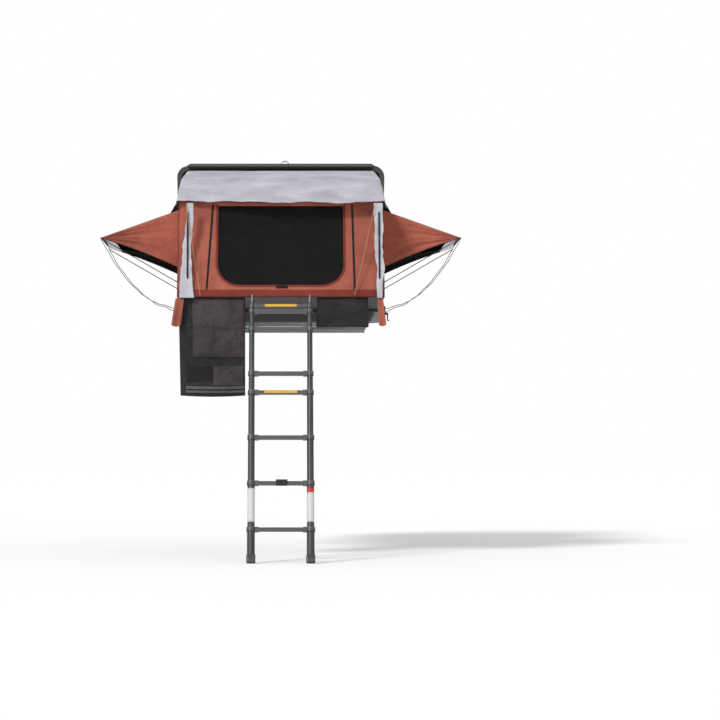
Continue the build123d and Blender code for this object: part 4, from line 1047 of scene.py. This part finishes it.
def quilt_dip(along, across, pitch, width, depth):
    """How deep a sewn channel pulls the padding in, for channels both ways."""
    nearest = min(abs((along + pitch / 2) % pitch - pitch / 2), abs((across + pitch / 2) % pitch - pitch / 2))
    return depth * exp(-(nearest / width) ** 2)


MATTRESS_HALF_X, MATTRESS_MIDDLE_Z = 630, 157.8
for word, y_from, y_to, body in (("rear", -552, 564, "base"), ("front", -1630, -568, "floor")):
    middle, half_y = (y_from + y_to) / 2, (y_to - y_from) / 2

    def mattress_shape(point):
        x, y, z = point
        crown = (1 - (x / MATTRESS_HALF_X) ** 4) * (1 - (y / half_y) ** 4)
        if z > 5:
            z += 4 * crown - quilt_dip(x, y, 210, 16, 7) * crown
        waist = 1 - 0.01 * (1 - min(abs(z) / 22, 1))
        return (x * waist, middle + y * waist, MATTRESS_MIDDLE_Z + z)

    pad = rounded_block(f"mattress_{word}_cover", (MATTRESS_HALF_X, half_y, 21.5), 16, 44, mattress_shape,
                        MATTRESS_CLOTH)
    mount(pad, body, LID_CLOSES if word == "front" else None, (f"{word}_mattress",))


def lid_place(x, y, z):
    """A point of the closed lid, told from its hinge axis, where it stands while the lid is open."""
    out = Vector((x, y * cos(LID_TILT) + z * sin(LID_TILT), -y * sin(LID_TILT) + z * cos(LID_TILT)))
    return Vector(LID_AXIS) + out


def lining_shape(point):
    x, y, z = point
    if z < 0:
        z += quilt_dip(x, y, 212, 14, 5) - 3
    return lid_place(x, y - LID_AXIS[1], 231 + z)


lining = rounded_block("lid_quilt", (688, 528, 4), 3.5, 50, lining_shape, QUILT)
mount(lining, "lid", None, ("lid_lining",))

seal_loops = [[lid_place(x, y - LID_AXIS[1], z)
               for x, y in round_rectangle(760 - inset, 600 - inset, 70 - inset)]
              for inset, z in ((0, 0.6), (4.5, 0.3), (9, 0.6), (9, 3), (0, 3))]
count = len(seal_loops[0])
loops = len(seal_loops)
seal_faces = [(a * count + i, a * count + (i + 1) % count, (a + 1) % loops * count + (i + 1) % count,
               (a + 1) % loops * count + i) for a in range(loops) for i in range(count)]
seal = piece_from("rim_seal", [([p for loop in seal_loops for p in loop], seal_faces)], [RUBBER])
mount(seal, "lid", None, ("lid_seal",))
apron = thicken(piece_from("rim_apron", [grid(lambda u, v: lid_place(
    700 * (2 * u - 1), APRON_Y + 2 * ripple(u * 1400, 0, 0, 120, 4.0) * v, 3 - 22 * v), 90, 6)],
    [BLACK_CLOTH], None), 1.4, offset=0.0)
drape(apron, "lid", None)


# Pull strap: a loop of webbing on the rim, and the two tabs that hold the cover's top edge
def pull_place(u, v):
    turn = pi * v
    return lid_place(32 - 30 * cos(turn), PULL_Y - 32 * sin(turn) ** 0.8, 14 + 14 * u)


pull_strap = sheet_of("pull_strap", pull_place, 3, 30, WEBBING, None, 2.0, offset=0.0)
drape(pull_strap, "lid", None, ("lid_pull_strap",))
tab_low, tab_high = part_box("cover_tabs")
for side, word in SIDES:
    def tab_place(u, v):
        bend = 1.5 * sin(pi * v)
        return (side * 448 + 36 * (u - 0.5) * (1 - 0.12 * max(0, 1 - v * 6)),
                (tab_low.y + tab_high.y) / 2 / METRE - bend,
                tab_low.z / METRE + (tab_high.z - tab_low.z) / METRE * v)

    tab = sheet_of(f"cover_tab_{word}", tab_place, 8, 10, WEBBING, (0, -1, 0), 2.4, offset=0.0)
    drape(tab, frame["nodes"]["cover_tabs"]["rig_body"], None,
          ("cover_tabs",))

# ---------------------------------------------------------------- ladder labels, plain
LADDER_LEAN = radians(74)
LADDER_TOP = Vector((0, -1664, 78))
LADDER_DOWN = Vector((0, -cos(LADDER_LEAN), -sin(LADDER_LEAN)))
LADDER_OUT = Vector((0, -sin(LADDER_LEAN), cos(LADDER_LEAN)))
STILE_X, LABEL_R, LABEL_TURN = 194, 24.35, radians(150)
LABEL_PARTS = {
    "left": [("label", 1302, 1530, LABEL)],
    "right": [("label", 1330, 1530, LABEL), ("label_band", 1301, 1330, LABEL_RED)],
}
for side, word in SIDES:
    for part, from_down, to_down, finish in LABEL_PARTS[word]:
        def label_place(u, v):
            turn = LABEL_TURN * (u - 0.5)
            return (LADDER_TOP + LADDER_DOWN * (from_down + (to_down - from_down) * v)
                    + Vector((side * STILE_X + LABEL_R * sin(turn), 0, 0)) + LADDER_OUT * LABEL_R * cos(turn))

        label = sheet_of(f"{part}_{word}", label_place, 16, 12, finish, (0, -1, 0), 0.25, offset=1.0)
        mount(label, "ladder_7")

# ---------------------------------------------------------------- floor, backdrop and light
ground_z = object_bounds()[0].z
bpy.ops.mesh.primitive_plane_add(size=120, location=(0, 20, ground_z - 0.001))
floor = bpy.context.object
floor.name = "studio_floor"
paper, _, paper_shader = blank_material("Pale studio floor")
paper_shader.inputs["Base Color"].default_value = (0.97, 0.97, 0.97, 1)
paper_shader.inputs["Roughness"].default_value = 0.9
paper_shader.inputs["Emission Color"].default_value = (1, 1, 1, 1)
paper_shader.inputs["Emission Strength"].default_value = 0.12
floor.data.materials.append(paper)

world = bpy.data.worlds.new("Studio")
bpy.context.scene.world = world
world.use_nodes = True
sky = world.node_tree
lit = sky.nodes["Background"]
lit.inputs["Color"].default_value = (1, 1, 1, 1)
lit.inputs["Strength"].default_value = 0.5
seen = sky.nodes.new("ShaderNodeBackground")
seen.inputs["Color"].default_value = (1, 1, 1, 1)
seen.inputs["Strength"].default_value = 1.0
rays, either, mix = (sky.nodes.new(f"ShaderNode{kind}") for kind in ("LightPath", "Math", "MixShader"))
either.operation = "MAXIMUM"
sky.links.new(rays.outputs["Is Camera Ray"], either.inputs[0])
sky.links.new(rays.outputs["Is Transmission Ray"], either.inputs[1])
sky.links.new(either.outputs[0], mix.inputs["Fac"])
sky.links.new(lit.outputs[0], mix.inputs[1])
sky.links.new(seen.outputs[0], mix.inputs[2])
sky.links.new(mix.outputs[0], sky.nodes["World Output"].inputs["Surface"])


def lamp(name, strength, angle, pitch, turn):
    data = bpy.data.lights.new(name, "SUN")
    data.energy, data.angle = strength, radians(angle)
    made = bpy.data.objects.new(name, data)
    made.rotation_euler = (radians(pitch), 0, radians(turn))
    bpy.context.scene.collection.objects.link(made)


lamp("Key", 2.1, 12, 52, -38)
lamp("Fill", 0.35, 60, 78, 40)
bpy.context.scene.view_settings.view_transform = "Standard"
